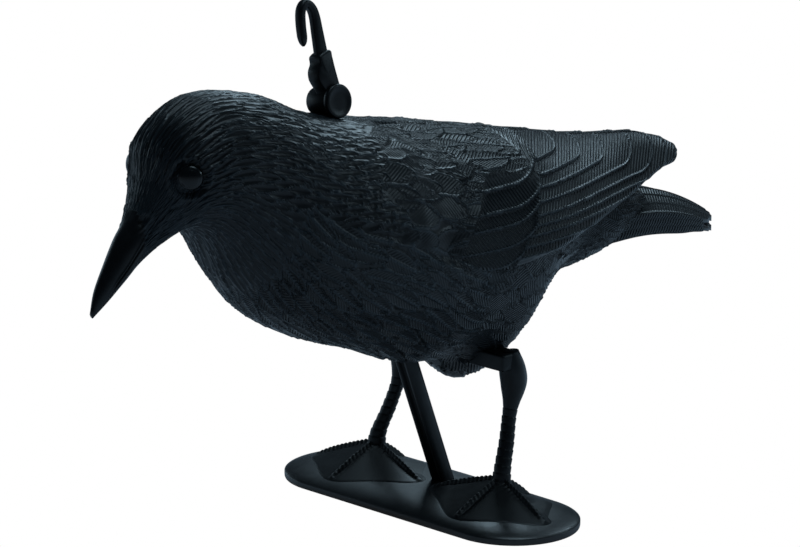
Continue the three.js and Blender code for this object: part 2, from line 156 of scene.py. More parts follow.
def spread(value: Array, points: Array) -> Array:
    """A value turned into distance along the surface: itself over the steepness of its growth.

    The steepness is the root of the summed squares of its differences along the grid's two
    ways, each over the distance between the points there.

    Args:
        value: one number for each point.
        points: grid of rows by columns by three.

    Returns:
        The distances.
    """
    ways = []
    for axis in (0, 1):
        gaps = np.linalg.norm(np.gradient(points, axis=axis), axis=-1)
        ways.append(np.gradient(value, axis=axis) / np.maximum(gaps, 1e-6))
    return value / np.clip(np.hypot(*ways), 0.5, 2.0)


# Feathers.


@dataclass
class Relief:
    """Carving over a surface, and the fine barbs that follow each feather.

    Each point has the phase of the barbs' wave in turns, how much of the barbs shows, the height
    in millimetres and the distance to the nearest outline.
    """

    phase: Array
    barb: Array
    lift: Array
    edge: Array

    @classmethod
    def flat(cls, like: Array) -> "Relief":
        """No carving at all, in the shape of an array."""
        return cls(*(np.full_like(like, value) for value in PLAIN.values()))

    @classmethod
    def joined(cls, parts: list["Relief"], axis: int) -> "Relief":
        """Reliefs one after the other along an axis of the grid."""
        return cls(*(np.concatenate([vars(part)[key] for part in parts], axis) for key in PLAIN))

    def turned(self) -> "Relief":
        """This relief with its columns in the opposite order."""
        return Relief(*(value[:, ::-1] for value in vars(self).values()))

    def under(self, other: "Relief", share: Array) -> "Relief":
        """Lays another relief over this one.

        The heights are mixed. The barbs fade out to where the share is a half, and the other's
        fade in from there.

        Args:
            other: the relief on top.
            share: how fully it covers each point.

        Returns:
            Both as one relief.
        """
        over = share > 0.5
        return Relief(phase=np.where(over, other.phase, self.phase),
                      barb=np.where(over, other.barb * (2 * share - 1),
                                    self.barb * (1 - 2 * share)),
                      lift=self.lift * (1 - share) + other.lift * share,
                      edge=np.where(over, other.edge, self.edge))


@dataclass(frozen=True)
class Plumage:
    """Rows of overlapping feathers along a flow, every other row shifted by half a feather.

    A feather has a length, half width, height at its tip, ridges along its outline and shaft, a
    bluntness, and barbs with a strength, pitch and slant. Its place wanders and it tilts by
    chance, and fill is the share of its column that half of it may take. Thin is below 1 where
    the painted highlight line along the outline has to be wider.
    """

    row: float
    length: float
    half: float
    rise: float
    rim: float = 0.0
    shaft: float = 0.0
    blunt: float = 0.8
    barb: float = 0.0
    pitch: float = 1.1
    slant: float = 1.0
    wander: float = 0.3
    tilt: float = 0.12
    paired: bool = True
    fill: float = 0.6
    thin: float = 1.0
    soft: float = 0.45
    seed: int = 1

    def outline(self, x: Array, wide: Array) -> Array:
        """Half width of a feather along its length.

        It is the power `blunt` of 4x(1 - x) with its widest place drawn towards the tip, and
        it stays under a share of the column's width.

        Args:
            x: share of the length from the tip, 0, to the base, 1.
            wide: the column's width.

        Returns:
            Millimetres from the shaft to the outline.
        """
        near = np.clip(x, 0, 1) ** 0.8
        most = np.minimum(self.half, self.fill * wide)
        return most * np.clip(4 * near * (1 - near), 0, 1) ** self.blunt

    def lay(self, flow: Array, column: Array, wide: Array) -> Relief:
        """Carves the feathers where they lie.

        Each place looks at the feathers of the rows and columns round it. A feather's height
        falls from its tip to its base and drops at its outline, with a fine ridge along the
        outline and another down its shaft, and the highest feather shows.

        Args:
            flow: millimetres along the flow.
            column: place across the flow, counted in columns.
            wide: millimetres from one column to the next.

        Returns:
            The relief.
        """
        dice = np.random.default_rng(self.seed).random((*DICE, 4))
        best = Relief.flat(flow)
        for back in range(int(math.ceil(self.length / self.row)) + 1):
            line = np.floor(flow / self.row).astype(int) + back
            shift = 0.5 * (line % 2)
            for beside in (-1, 0, 1):
                place = np.rint(column - shift).astype(int) + beside
                roll = dice[line % DICE[0], place % DICE[1]]
                tip = (line + 0.5 + self.wander * (roll[..., 0] - 0.5)) * self.row
                length = self.length * (0.8 + 0.4 * roll[..., 3])
                x = (tip - flow) / length
                middle = place + shift + self.wander * (roll[..., 1] - 0.5)
                lean = self.tilt * 2 * (roll[..., 2] - 0.5)
                y = (column - middle) * wide - lean * (x - 0.5) * length
                inside = self.outline(x, wide) - np.abs(y)
                cover = np.clip(inside / self.soft, 0, 1) * (x > 0) * (x < 1)
                height = cover * step(0, 0.12, 1 - x) * (
                    self.rise * (1 - 0.7 * np.clip(x, 0, 1)) + self.rim * bell(inside - 0.6, 0.6)
                    + self.shaft * bell(y, 0.5))
                aside = np.abs(y) if self.paired else y * np.where(roll[..., 3] > 0.5, 1, -1)
                lines = np.minimum(inside, np.abs(y) + 0.35) if self.shaft else inside
                wins = height > best.lift
                best = Relief(
                    phase=np.where(wins, (x * length + self.slant * aside) / self.pitch,
                                   best.phase),
                    barb=np.where(wins, self.barb * step(0.4, 0.9, inside), best.barb),
                    lift=np.where(wins, height, best.lift),
                    edge=np.where(wins, lines * self.thin, best.edge))
        return best


HAIR = Plumage(row=4.4, length=11.5, half=0.9, rise=0.6, blunt=0.7, seed=3)
LENS = Plumage(row=9.5, length=20.0, half=2.6, rise=0.45, rim=0.6, blunt=0.95, tilt=0.1,
               fill=0.48, seed=5)
LONG_HAIR = Plumage(row=13.0, length=34.0, half=1.9, rise=1.5, rim=0.55, blunt=0.7, tilt=0.1,
                    seed=7)
BREAST = Plumage(row=15.0, length=30.0, half=5.4, rise=0.7, rim=0.35, shaft=0.35, blunt=0.7,
                 barb=1.0, pitch=1.9, slant=1.1, tilt=0.16, thin=0.65, seed=9)
FLANK = Plumage(row=9.5, length=19.0, half=5.6, rise=1.3, rim=0.45, blunt=0.5, barb=1.0,
                pitch=1.8, slant=0.9, tilt=0.25, wander=0.5, paired=False, seed=11)
LESSER = Plumage(row=16.0, length=30.0, half=6.4, rise=0.7, rim=0.5, blunt=0.6, barb=0.15,
                 pitch=2.0, slant=1.1, tilt=0.16, wander=0.35, paired=False, thin=0.6, seed=23)
SCAPULAR = Plumage(row=17.0, length=34.0, half=5.6, rise=0.8, rim=0.35, shaft=0.3, blunt=0.75,
                   barb=0.9, pitch=2.1, slant=1.2, seed=25)


@dataclass(frozen=True)
class Region:
    """Where one kind of feather covers the trunk, and how its columns run.

    A pair says where the cover begins and where it is full: along X at the front and the back,
    and in shares of the way from the crest, 0, to the keel, 1, around the body. The front's line
    leans with that share and waves with the height and with the share. The columns climb
    against the rings behind the head.
    """

    plumage: Plumage
    columns: float
    front: Pair
    around: Pair | None = None
    back: Pair | None = None
    lean: float = 0.0
    pivot: float = 0.0
    wave: float = 0.0
    wave_turns: Pair = (0.0, 0.0)
    climb: float = 0.0
    climb_from: float = 80.0
    climb_full: float = 0.45
    climb_column: float = 5.0
    faint: bool = False

    def share(self, x: Array, z: Array, low: Array) -> Array:
        """How fully the region covers each place: its smooth steps multiplied.

        Args:
            x: place along the bird.
            z: height.
            low: share of the way from crest to keel.

        Returns:
            From 0, outside, to 1, inside.
        """
        wave = self.wave * np.sin(self.wave_turns[0] * z + self.wave_turns[1] * low)
        share = step(*self.front, x + self.lean * (low - self.pivot) + wave)
        for limits, place in ((self.around, low), (self.back, x)):
            if limits:
                share = share * step(*limits, place)
        return share

    def laid(self, flow: Array, share: Array, half: Array) -> Relief:
        """The region's feathers over the whole trunk.

        A column is its count times the share, plus the climb times the distance behind the head.

        Args:
            flow: millimetres along the side line.
            share: share round from the crest, negative on the left.
            half: half the ring's length.

        Returns:
            The relief.
        """
        behind = np.clip(flow - self.climb_from, 0, None)
        rise = (self.climb * np.clip(np.abs(share) / self.climb_full, 0, 1) * behind
                * np.sign(share))
        column = share * self.columns + rise / self.climb_column
        turned = np.maximum(np.abs(np.gradient(column, axis=1)), 0.02)
        gap = 2 * half / share.shape[1]
        return self.plumage.lay(flow, column, np.minimum(gap / turned, 1.3 * half / self.columns))


@dataclass(frozen=True)
class LongFeathers:
    """Feathers that lie one under the other: the height and end of each edge, from the top down.

    An edge keeps its height and then curls up: over the last span before its end it rises by
    curl times the share's power 2.2.
    """

    edges: tuple[Pair, ...]
    curl: float
    span: float
    rise: float
    lean: float
    sunk: float = 0.0
    pitch: float = 1.95
    rim: float = 0.45

    def strips(self, x: Array, z: Array) -> tuple[Array, Array]:
        """Where each place lies between two edges.

        Args:
            x: place along the wing.
            z: height.

        Returns:
            The share across the strip from its lower edge, and the strip's width.
        """
        ends = [np.clip((x - end + self.span) / self.span, 0, 3) for _, end in self.edges]
        edges = np.stack([height + self.curl * share**2.2
                          for (height, _), share in zip(self.edges, ends)])
        below = np.clip((edges > z).sum(0), 1, len(self.edges) - 1)
        top = np.take_along_axis(edges, below[None] - 1, 0)[0]
        low = np.take_along_axis(edges, below[None], 0)[0]
        width = np.maximum(top - low, 0.5)
        return np.clip((z - low) / width, 0, 1), width

    def relief(self, points: Array) -> Relief:
        """The feathers' carving, each highest at its lower edge.

        The height is the rise times the power 0.8 of the share down the strip, with a fine rim
        along the edge. The barbs' phase grows along the wing, outwards and with the height.

        Args:
            points: the wing's surface.

        Returns:
            The relief.
        """
        x, z = points[..., 0], points[..., 2]
        share, width = self.strips(x, z)
        inside = spread(share * width, points)
        lift = (self.rise * (1 - share) ** 0.8 * np.clip(inside / 0.5, 0, 1)
                + self.rim * bell(inside - 0.7, 0.5))
        return Relief(phase=(x + points[..., 1] + self.lean * z) / self.pitch,
                      barb=step(0.8, 1.8, inside), lift=lift - self.sunk, edge=inside * 0.6)


# Meshes.


def linked(name: str, data: Any) -> bpy.types.Object:
    """Makes an object of the scene.

    Args:
        name: the object's name.
        data: its mesh, lamp or camera.

    Returns:
        The object.
    """
    made = bpy.data.objects.new(name, data)
    bpy.context.scene.collection.objects.link(made)
    return made


@dataclass
class Piece:
    """One visible piece: grids of points that together make its closed shells."""

    name: str
    slot: str
    stands_for: str
    shells: list[tuple[Array, Array]] = field(default_factory=list)
    marks: dict[str, list[Array]] = field(default_factory=dict)

    def shell(self, points: Array, relief: Relief | None = None) -> "Piece":
        """Adds a closed shell made of rings.

        Four corners join each two points of a ring to those of the next, and a fan closes each
        end. The faces are turned over if the shell's signed volume, a sixth of the sum of each
        triangle's corners' triple product, is negative.

        Args:
            points: rings by points round a ring by three, in millimetres.
            relief: what the finish reads at each point, where something is carved.

        Returns:
            This piece.
        """
        rings, count = points.shape[:2]
        start = sum(len(p) for p, _ in self.shells)
        flat = points.reshape(-1, 3)
        i, j = np.meshgrid(np.arange(rings - 1), np.arange(count), indexing="ij")
        a, b = i * count + j, i * count + (j + 1) % count
        faces = np.stack([a, b, b + count, a + count], -1).reshape(-1, 4)
        relief = relief or Relief.flat(np.zeros((rings, count)))
        kept = {key: value.reshape(-1) for key, value in vars(relief).items()}
        for first, order in ((0, [0, 1, 2, 3]), ((rings - 1) * count, [0, 2, 1, 1])):
            ring = first + np.arange(count)
            fan = np.stack([np.full(count, len(flat)), np.roll(ring, -1), ring, ring], -1)
            faces = np.vstack([faces, fan[:, order]])
            flat = np.vstack([flat, flat[ring].mean(0)])
            kept = {key: np.append(value, value[ring].mean()) for key, value in kept.items()}
        p, q, r, s = (flat[faces[:, k]] for k in range(4))
        volume = (p * (np.cross(q, r) + np.cross(r, s))).sum()
        self.shells.append((flat, (faces if volume > 0 else faces[:, ::-1]) + start))
        for key, value in kept.items():
            self.marks.setdefault(key, []).append(value)
        return self

    def build(self, finish: "Finish") -> None:
        """Makes the mesh, dresses it, hangs it on the root and hides the imported part that it
        stands for.

        Args:
            finish: what it is made of.
        """
        points = np.vstack([p for p, _ in self.shells]) * METRE
        faces = np.vstack([f for _, f in self.shells])
        double = faces == np.roll(faces, 1, 1)
        corners = faces[~double]
        starts = np.concatenate([[0], np.cumsum(4 - double.sum(1))[:-1]])
        mesh = bpy.data.meshes.new(self.name)
        mesh.vertices.add(len(points))
        mesh.vertices.foreach_set("co", points.astype(np.float32).ravel())
        mesh.loops.add(len(corners))
        mesh.loops.foreach_set("vertex_index", corners.astype(np.int32))
        mesh.polygons.add(len(faces))
        mesh.polygons.foreach_set("loop_start", starts.astype(np.int32))
        mesh.polygons.foreach_set("use_smooth", np.ones(len(faces), bool))
        mesh.update(calc_edges=True)
        mesh.validate()
        for key, values in self.marks.items():
            layer = mesh.attributes.new(key, "FLOAT", "POINT")
            layer.data.foreach_set("value", np.concatenate(values).astype(np.float32))
        obj = linked(self.name, mesh)
        obj.data.materials.append(finish.material())
        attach(obj, "root")
        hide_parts(self.stands_for)
        LOG.info("%s: %d faces for %s", self.name, len(faces), self.stands_for)


# Finishes.


class Wire:
    """A shader socket that Python's arithmetic joins to new Math nodes."""

    def __init__(self, board: "Board", socket: Any) -> None:
        """Wraps a socket of a board."""
        self.board = board
        self.socket = socket

    def _math(self, operation: str, *values: Any) -> "Wire":
        """A Math node on these values."""
        return self.board.node("ShaderNodeMath", {"operation": operation}, dict(enumerate(values)))

    def __add__(self, other: Any) -> "Wire":
        """Sum."""
        return self._math("ADD", self, other)

    def __sub__(self, other: Any) -> "Wire":
        """Difference."""
        return self._math("SUBTRACT", self, other)

    def __mul__(self, other: Any) -> "Wire":
        """Product."""
        return self._math("MULTIPLY", self, other)

    def __radd__(self, other: Any) -> "Wire":
        """Sum, number first."""
        return self._math("ADD", other, self)

    def __rsub__(self, other: Any) -> "Wire":
        """Difference, number first."""
        return self._math("SUBTRACT", other, self)

    def __rmul__(self, other: Any) -> "Wire":
        """Product, number first."""
        return self._math("MULTIPLY", other, self)

    def sine(self) -> "Wire":
        """Sine of an angle."""
        return self._math("SINE", self)

    def exponent(self) -> "Wire":
        """The number e raised to this value."""
        return self._math("EXPONENT", self)

    def clamped(self) -> "Wire":
        """The value kept between 0 and 1."""
        return self.board.node("ShaderNodeClamp", {}, {"Value": self})


class Board:
    """The node tree of one material."""

    def __init__(self, name: str) -> None:
        """Starts a material with no nodes.

        Args:
            name: the material's name.
        """
        self.made = bpy.data.materials.new(name)
        self.made.use_nodes = True
        self.tree = self.made.node_tree
        self.tree.nodes.clear()

    def node(self, kind: str, settings: dict[str, Any], inputs: dict[Any, Any],
             out: Any = 0) -> Wire:
        """Adds a node.

        Args:
            kind: the node's type.
            settings: properties to set first.
            inputs: a value or a wire for each named or numbered socket.
            out: which output to return.

        Returns:
            The node's output.
        """
        node = self.tree.nodes.new(kind)
        for key, value in settings.items():
            setattr(node, key, value)
        for key, value in inputs.items():
            if isinstance(value, Wire):
                self.tree.links.new(value.socket, node.inputs[key])
            else:
                node.inputs[key].default_value = value
        return Wire(self, node.outputs[out] if node.outputs else node)

    def mark(self, name: str) -> Wire:
        """A value kept at the mesh's points."""
        return self.node("ShaderNodeAttribute", {"attribute_name": name}, {}, "Fac")

    def noise(self, scale: float, detail: float, place: Wire) -> Wire:
        """Noise over the object's own coordinates."""
        return self.node("ShaderNodeTexNoise", {},
                         {"Vector": place, "Scale": scale, "Detail": detail})

    def mix(self, share: Wire, low: Any, high: Any) -> Wire:
        """One colour turning into another with a share."""
        return self.node("ShaderNodeMix", {"data_type": "RGBA"}, {0: share, 6: low, 7: high}, 2)


@dataclass(frozen=True)
class Finish:
    """Moulded plastic: a dark colour with painted highlight in a paler colour on what is raised,
    painted highlight lines along outlines and barbs, a random paler mottle and a fine grain.

    Deep is the dark colour, left in the hollows. The paler colour is painted highlight on the
    heights and also the random mottle, and line is the painted highlight along outlines and
    barbs. A share is how much of something the colour takes up, and depths are in metres.
    """

    name: str
    deep: Triple
    # Paler colour: painted highlight on raised relief, and random mottle.
    proud: Triple
    rough: float
    rough_range: float
    # Colour of the painted highlight lines along outlines and barbs.
    line: Triple = (0.0090, 0.0120, 0.0140)
    barb_depth: float = 0.0
    # How much of the painted highlight line colour the barbs take.
    barb_share: float = 0.22
    rim_depth: float = 0.0
    # How much of the painted highlight line colour the rims take.
    rim_share: float = 0.7
    rim_at: float = 0.45
    rim_width: float = 0.32
    # How strongly the carved height paints highlight, in the paler colour, onto the relief.
    lift_share: float = 0.35
    blotch_scale: float = 28.0
    blotch_share: float = 0.9
    speck_scale: float = 260.0
    speck_share: float = 0.5
    grain_scale: float = 1400.0
    grain_depth: float = 0.00003
    specular: float = 0.35

    def material(self) -> bpy.types.Material:
        """Builds the finish, or finds it if it is there.

        The barbs are a sine of each point's own phase, so that they follow every feather. The
        rim is a bell curve of the distance to the nearest outline. Both raise the bump and paint
        highlight lines into the colour.

        Returns:
            The material.
        """
        if self.name in bpy.data.materials:
            return bpy.data.materials[self.name]
        board = Board(self.name)
        place = board.node("ShaderNodeTexCoord", {}, {}, "Object")
        blotch = board.noise(self.blotch_scale, 4.0, place)
        speck = board.noise(self.speck_scale, 3.0, place)
        grain = board.noise(self.grain_scale, 2.0, place)
        barb = (board.mark("phase") * (2 * math.pi)).sine() * board.mark("barb")
        away = (board.mark("edge") - self.rim_at) * (1 / self.rim_width)
        rim = (0.0 - away * away).exponent()
        # Painted highlight: the carved height, with random mottle, turns the dark colour paler.
        proud = (board.mark("lift") * self.lift_share + (blotch - 0.5) * self.blotch_share
                 + (speck - 0.5) * self.speck_share + 0.1).clamped()
        plain = board.mix(proud, (*self.deep, 1.0), (*self.proud, 1.0))
        # Painted highlight lines along rims and barbs, in the line colour.
        highlight_lines = ((rim * self.rim_share + barb.clamped() * self.barb_share)
                 * (blotch * 1.2 + 0.4)).clamped()
        colour = board.mix(highlight_lines, plain, (*self.line, 1.0))
        rough = (self.rough + (speck - 0.5) * self.rough_range
                 + (blotch - 0.5) * self.rough_range).clamped()
        height = (barb * self.barb_depth + rim * self.rim_depth
                  + (grain - 0.5) * self.grain_depth)
        bump = board.node("ShaderNodeBump", {},
                          {"Strength": 1.0, "Distance": 1.0, "Height": height})
        shader = board.node("ShaderNodeBsdfPrincipled", {}, {
            "Base Color": colour, "Roughness": rough, "Normal": bump,
            "Specular IOR Level": self.specular})
        board.node("ShaderNodeOutputMaterial", {}, {"Surface": shader})
        return board.made


# The feathered finish's line colour is the painted highlight along outlines and barbs.
FEATHERED = Finish("feathered_plastic", (0.0012, 0.0020, 0.0028), (0.0052, 0.0076, 0.0098),
                   0.38, 0.16, (0.0240, 0.0330, 0.0400), barb_depth=0.00024, rim_depth=0.00030)
STAND = Finish("stand_plastic", (0.0014, 0.0022, 0.0030), (0.0055, 0.0078, 0.0094), 0.44, 0.18)
PLATE = Finish("plate_plastic", (0.0012, 0.0019, 0.0026), (0.0090, 0.0120, 0.0140), 0.40, 0.16,
               specular=0.70)
FITTING = Finish("hanger_plastic", (0.0018, 0.0028, 0.0037), (0.0064, 0.0090, 0.0112), 0.38, 0.14)
EYE = Finish("eye_plastic", (0.0024, 0.0034, 0.0044), (0.0060, 0.0084, 0.0104), 0.26, 0.08,
             specular=0.40)


# The bird.

HIP_BACK = 13.0
HIP_HEIGHT = 70.5


def from_hips(back: Array, across: Array, up: Array) -> Array:
    """Points of the part's frame from distances back, across and up from the hips."""
    return stacked(HIP_BACK + back, across, HIP_HEIGHT + up)


@dataclass
class Trunk:
    """Beak, head, neck, breast and belly: superellipse rings through the drawn sections.

    Each section is its top and bottom point back and up from the hips, its half width and the
    powers of its upper and lower half. Spacing is the share along and the distance wanted
    between rings there. The wing line is the height along X above which the wings lie.
    """

    sections: Rows = (
        (-213.6, 56.3, -212.6, 53.9, 0.9, 2.0, 2.0), (-210.7, 65.2, -204.9, 59.5, 3.1, 2.0, 2.0),
        (-204.9, 75.2, -196.2, 66.4, 4.9, 2.0, 2.0), (-198.7, 84.8, -187.6, 73.3, 6.6, 2.0, 2.0),
        (-191.7, 93.3, -178.0, 80.3, 9.0, 2.0, 2.0), (-184.8, 106.5, -168.0, 85.3, 15.5, 2.0, 2.0),
        (-177.0, 126.7, -159.0, 83.9, 22.5, 2.1, 2.0),
        (-154.0, 139.5, -150.6, 74.9, 27.0, 2.1, 1.9),
        (-122.0, 135.3, -139.4, 56.3, 32.0, 2.1, 1.9),
        (-96.0, 124.1, -124.0, 38.3, 39.0, 2.1, 2.0),
        (-67.0, 116.7, -98.0, 23.5, 45.0, 2.1, 2.0), (-32.0, 110.3, -65.0, 11.6, 49.0, 2.1, 2.0),
        (-3.0, 103.3, -39.0, 1.0, 49.5, 2.1, 2.0), (16.0, 98.9, -17.0, -2.4, 48.0, 2.1, 1.8),
        (35.0, 94.0, 4.0, -14.9, 42.5, 2.1, 1.6), (61.0, 87.0, 21.5, 2.5, 33.5, 2.0, 1.6),
        (86.0, 76.5, 43.0, 21.0, 27.5, 2.0, 1.8), (108.0, 61.5, 71.0, 28.0, 25.0, 2.0, 2.0),
        (127.0, 49.5, 115.0, 37.5, 14.0, 2.0, 2.0))
    regions: tuple[Region, ...] = (
        Region(HAIR, 24, (-181, -173), (1.0, 0.9)),
        Region(LENS, 22, (-172, -160), (0.64, 0.52), lean=-14, pivot=0.2, climb=0.34),
        Region(LONG_HAIR, 30, (-176, -164), (0.5, 0.6), back=(-40, -62)),
        Region(BREAST, 14, (-124, -114), (0.46, 0.50), lean=30, pivot=0.8, climb=-0.08,
               faint=True),
        Region(LESSER, 12, (-66, -60), (0.52, 0.46), wave=6, wave_turns=(0.2, 0)),
        Region(SCAPULAR, 13, (-58, -52), (0.24, 0.18), wave=5, wave_turns=(0, 50)),
        Region(FLANK, 14, (-6, -1), lean=-16, pivot=1))
    barbs_least: float = 0.2
    barbs_from: Pair = (0.66, 0.78)
    barbs_higher: float = 0.14
    barbs_back: Pair = (-50, -10)
    columns: int = 316
    spacing: tuple[Pair, ...] = (
        (0.0, 1.6), (0.21, 1.5), (0.25, 0.95), (0.56, 0.95), (0.62, 1.35), (0.88, 1.5), (1.0, 2.4))
    eye_along: float = 0.318
    eye_turn: float = 22.0
    eye_ridge: Pair = (8.9, 0.8)
    eye_groove: Pair = (6.7, 1.6)
    eye_ring: float = 0.8
    eye_calm: Pair = (6.5, 10.5)
    beak: Pair = (-183, -172)
    mouth: tuple[Pair, ...] = (
        (-200, 125), (-193, 132), (-189, 138), (-184, 143.5), (-180, 149), (-176, 154.5),
        (-173, 160), (-168, 167), (-162, 170))
    mouth_front: Pair = (-196, -188)
    mouth_back: Pair = (-161, -167)
    nostril: Pair = (-176.3, 163.2)
    nostril_way: Pair = (0.55, 0.83)
    nostril_size: Pair = (3.4, 1.5)
    sink: float = 0.45
    wing_sink: float = 3.0
    wing_front: Pair = (-50, -34)
    wing_edge: Pair = (1, 6)
    wing_crest: Pair = (6, 10)
    wing_line: tuple[Pair, ...] = (
        (-63, 131), (-30, 123), (0, 118.5), (35, 122), (60, 125.5), (85, 128), (110, 131),
        (134, 136))

    def point(self, along: Array, turn: Array) -> Array:
        """A place on the surface.

        The rise between keel and crest is a half plus half the bent sine, and the distance
        across is the half width times the bent cosine.

        Args:
            along: share of the way through the sections.
            turn: angle round from the +Y side over the back.

        Returns:
            The points.
        """
        rows = spline(np.array(self.sections), along)
        top, bottom = rows[..., 0:2], rows[..., 2:4]
        power = np.where(np.sin(turn) > 0, rows[..., 5], rows[..., 6])
        rise = (0.5 + 0.5 * bent(np.sin(turn), power))[..., None]
        line = bottom * (1 - rise) + top * rise
        return from_hips(line[..., 0], rows[..., 4] * bent(np.cos(turn), power), line[..., 1])

    def rings(self) -> Array:
        """Places of the rings, closer where the feathers are finer.

        Returns:
            Equal steps of the side line's length divided by the spacing wanted there.
        """
        fine = np.linspace(0, 1, 1200)
        side = self.point(fine, np.zeros_like(fine))
        travel = np.linalg.norm(np.diff(side, axis=0), axis=1)
        wanted = np.interp(fine, *np.array(self.spacing).T)
        cost = np.concatenate([[0], np.cumsum(travel / wanted[1:])])
        return np.interp(np.linspace(0, cost[-1], int(cost[-1])), cost, fine)

    def grid(self) -> tuple[Array, Array, Array, Array]:
        """The surface with its columns spaced evenly round each ring.

        Returns:
            Points, millimetres along the side line, share round from the crest (-1 to 1, with
            the left side negative) and half the ring's length.
        """
        along = self.rings()
        share = (np.arange(self.columns) / self.columns) * 2 - 1
        fine = np.linspace(0, math.pi, 361)
        half = self.point(along[:, None], math.pi / 2 - fine[None, :])
        run = np.linalg.norm(np.diff(half, axis=1), axis=2).cumsum(1)
        run = np.concatenate([np.zeros((len(along), 1)), run], 1)
        turn = np.stack([np.interp(np.abs(share) * r[-1], r, fine) for r in run])
        turn = math.pi / 2 - np.sign(share) * turn
        points = self.point(np.broadcast_to(along[:, None], turn.shape), turn)
        side = self.point(along, np.zeros_like(along))
        flow = np.concatenate([[0], np.linalg.norm(np.diff(side, axis=0), axis=1).cumsum()])
        return points, *np.broadcast_arrays(flow[:, None], share, run[:, -1:])

    def relief(self, points: Array, flow: Array, share: Array, half: Array) -> Relief:
        """The carving of each region, from the forehead's hair to the vent's barbed feathers.

        Args:
            points: the surface.
            flow: millimetres along the side line.
            share: share round from the crest.
            half: half the ring's length.

        Returns:
            The relief.
        """
        x, z, low = points[..., 0], points[..., 2], np.abs(share)
        made = Relief.flat(flow)
        for region in self.regions:
            laid = region.laid(flow, share, half)
            if region.faint:
                laid.barb = laid.barb * self.faint_barbs(x, low)
            made = made.under(laid, region.share(x, z, low))
        made.lift = made.lift * step(*self.beak, x)
        return made

    def faint_barbs(self, x: Array, low: Array) -> Array:
        """Share of the breast's barbs that shows: all towards the keel, from higher up behind."""
        reach = low + self.barbs_higher * step(*self.barbs_back, x)
        return self.barbs_least + (1 - self.barbs_least) * step(*self.barbs_from, reach)

    def eye_place(self) -> Array:
        """Middle of the right eye on the trunk's surface."""
        return self.point(np.array(self.eye_along), np.array(math.radians(self.eye_turn)))

    def mouth_line(self, x: Array, z: Array) -> Array:
        """Height of the mouth's carving: a groove along the drawn line, with a lip above it.

        Args:
            x: place along the bird.
            z: height.

        Returns:
            Millimetres out.
        """
        above = (z - np.interp(x, *np.array(self.mouth).T)) * 0.6
        ends = step(*self.mouth_front, x) * step(*self.mouth_back, x)
        return (0.35 * bell(above - 1.0, 0.5) - 0.8 * bell(above, 0.5)) * ends

    def nostril_pit(self, points: Array) -> Array:
        """Height of the nostrils' carving: slanted oval pits, each with a raised edge.

        Args:
            points: the surface.

        Returns:
            Millimetres out.
        """
        ahead, above = points[..., 0] - self.nostril[0], points[..., 2] - self.nostril[1]
        (flat, steep), (long, wide) = self.nostril_way, self.nostril_size
        out = np.hypot((ahead * flat + above * steep) / long, (ahead * steep - above * flat) / wide)
        pit = 0.5 * bell(out - 1.1, 0.35) - 1.2 * bell(out, 0.6)
        return pit * step(0.5, 2.0, np.abs(points[..., 1]))

    def face(self, points: Array, lift: Array) -> Array:
        """Adds the face: a ridge and a groove round each eye, the mouth line and the nostrils.

        Args:
            points: the surface.
            lift: height of the feathers, which stop short of the eye.

        Returns:
            Height of it all.
        """
        place = self.eye_place()
        apart = np.minimum(*(np.linalg.norm(side.mirrored(points) - place, axis=-1)
                             for side in Side))
        (ridge, high), (groove, deep) = self.eye_ridge, self.eye_groove
        rings = (high * bell(apart - ridge, self.eye_ring)
                 - deep * bell(apart - groove, self.eye_ring))
        line = self.mouth_line(points[..., 0], points[..., 2])
        return lift * step(*self.eye_calm, apart) + rings + line + self.nostril_pit(points)

    def wing_cover(self, points: Array) -> Array:
        """How surely the wings hide the trunk: 1 between a wing's two edges behind its front.

        Args:
            points: the surface.

        Returns:
            From 0 to 1.
        """
        x, y, z = np.moveaxis(points, -1, 0)
        low = np.interp(x, *np.array(self.wing_line).T)
        inside = step(*self.wing_edge, z - low) * step(*self.wing_crest, np.abs(y))
        return step(*self.wing_front, x) * inside

    def piece(self) -> Piece:
        """The trunk, carved along its normals and sunk where the wings cover it.

        Returns:
            The piece.
        """
        points, flow, share, half = self.grid()
        made = self.relief(points, flow, share, half)
        made.lift = self.face(points, made.lift)
        out = facing(normals_of(points, ring=True), points - points.mean(1, keepdims=True))
        sunk = self.sink * step(*self.beak, points[..., 0])
        hidden = self.wing_sink * self.wing_cover(points)
        moved = points + out * (made.lift - sunk - hidden)[..., None]
        return Piece("bird_trunk", "body", "body").shell(moved, made)


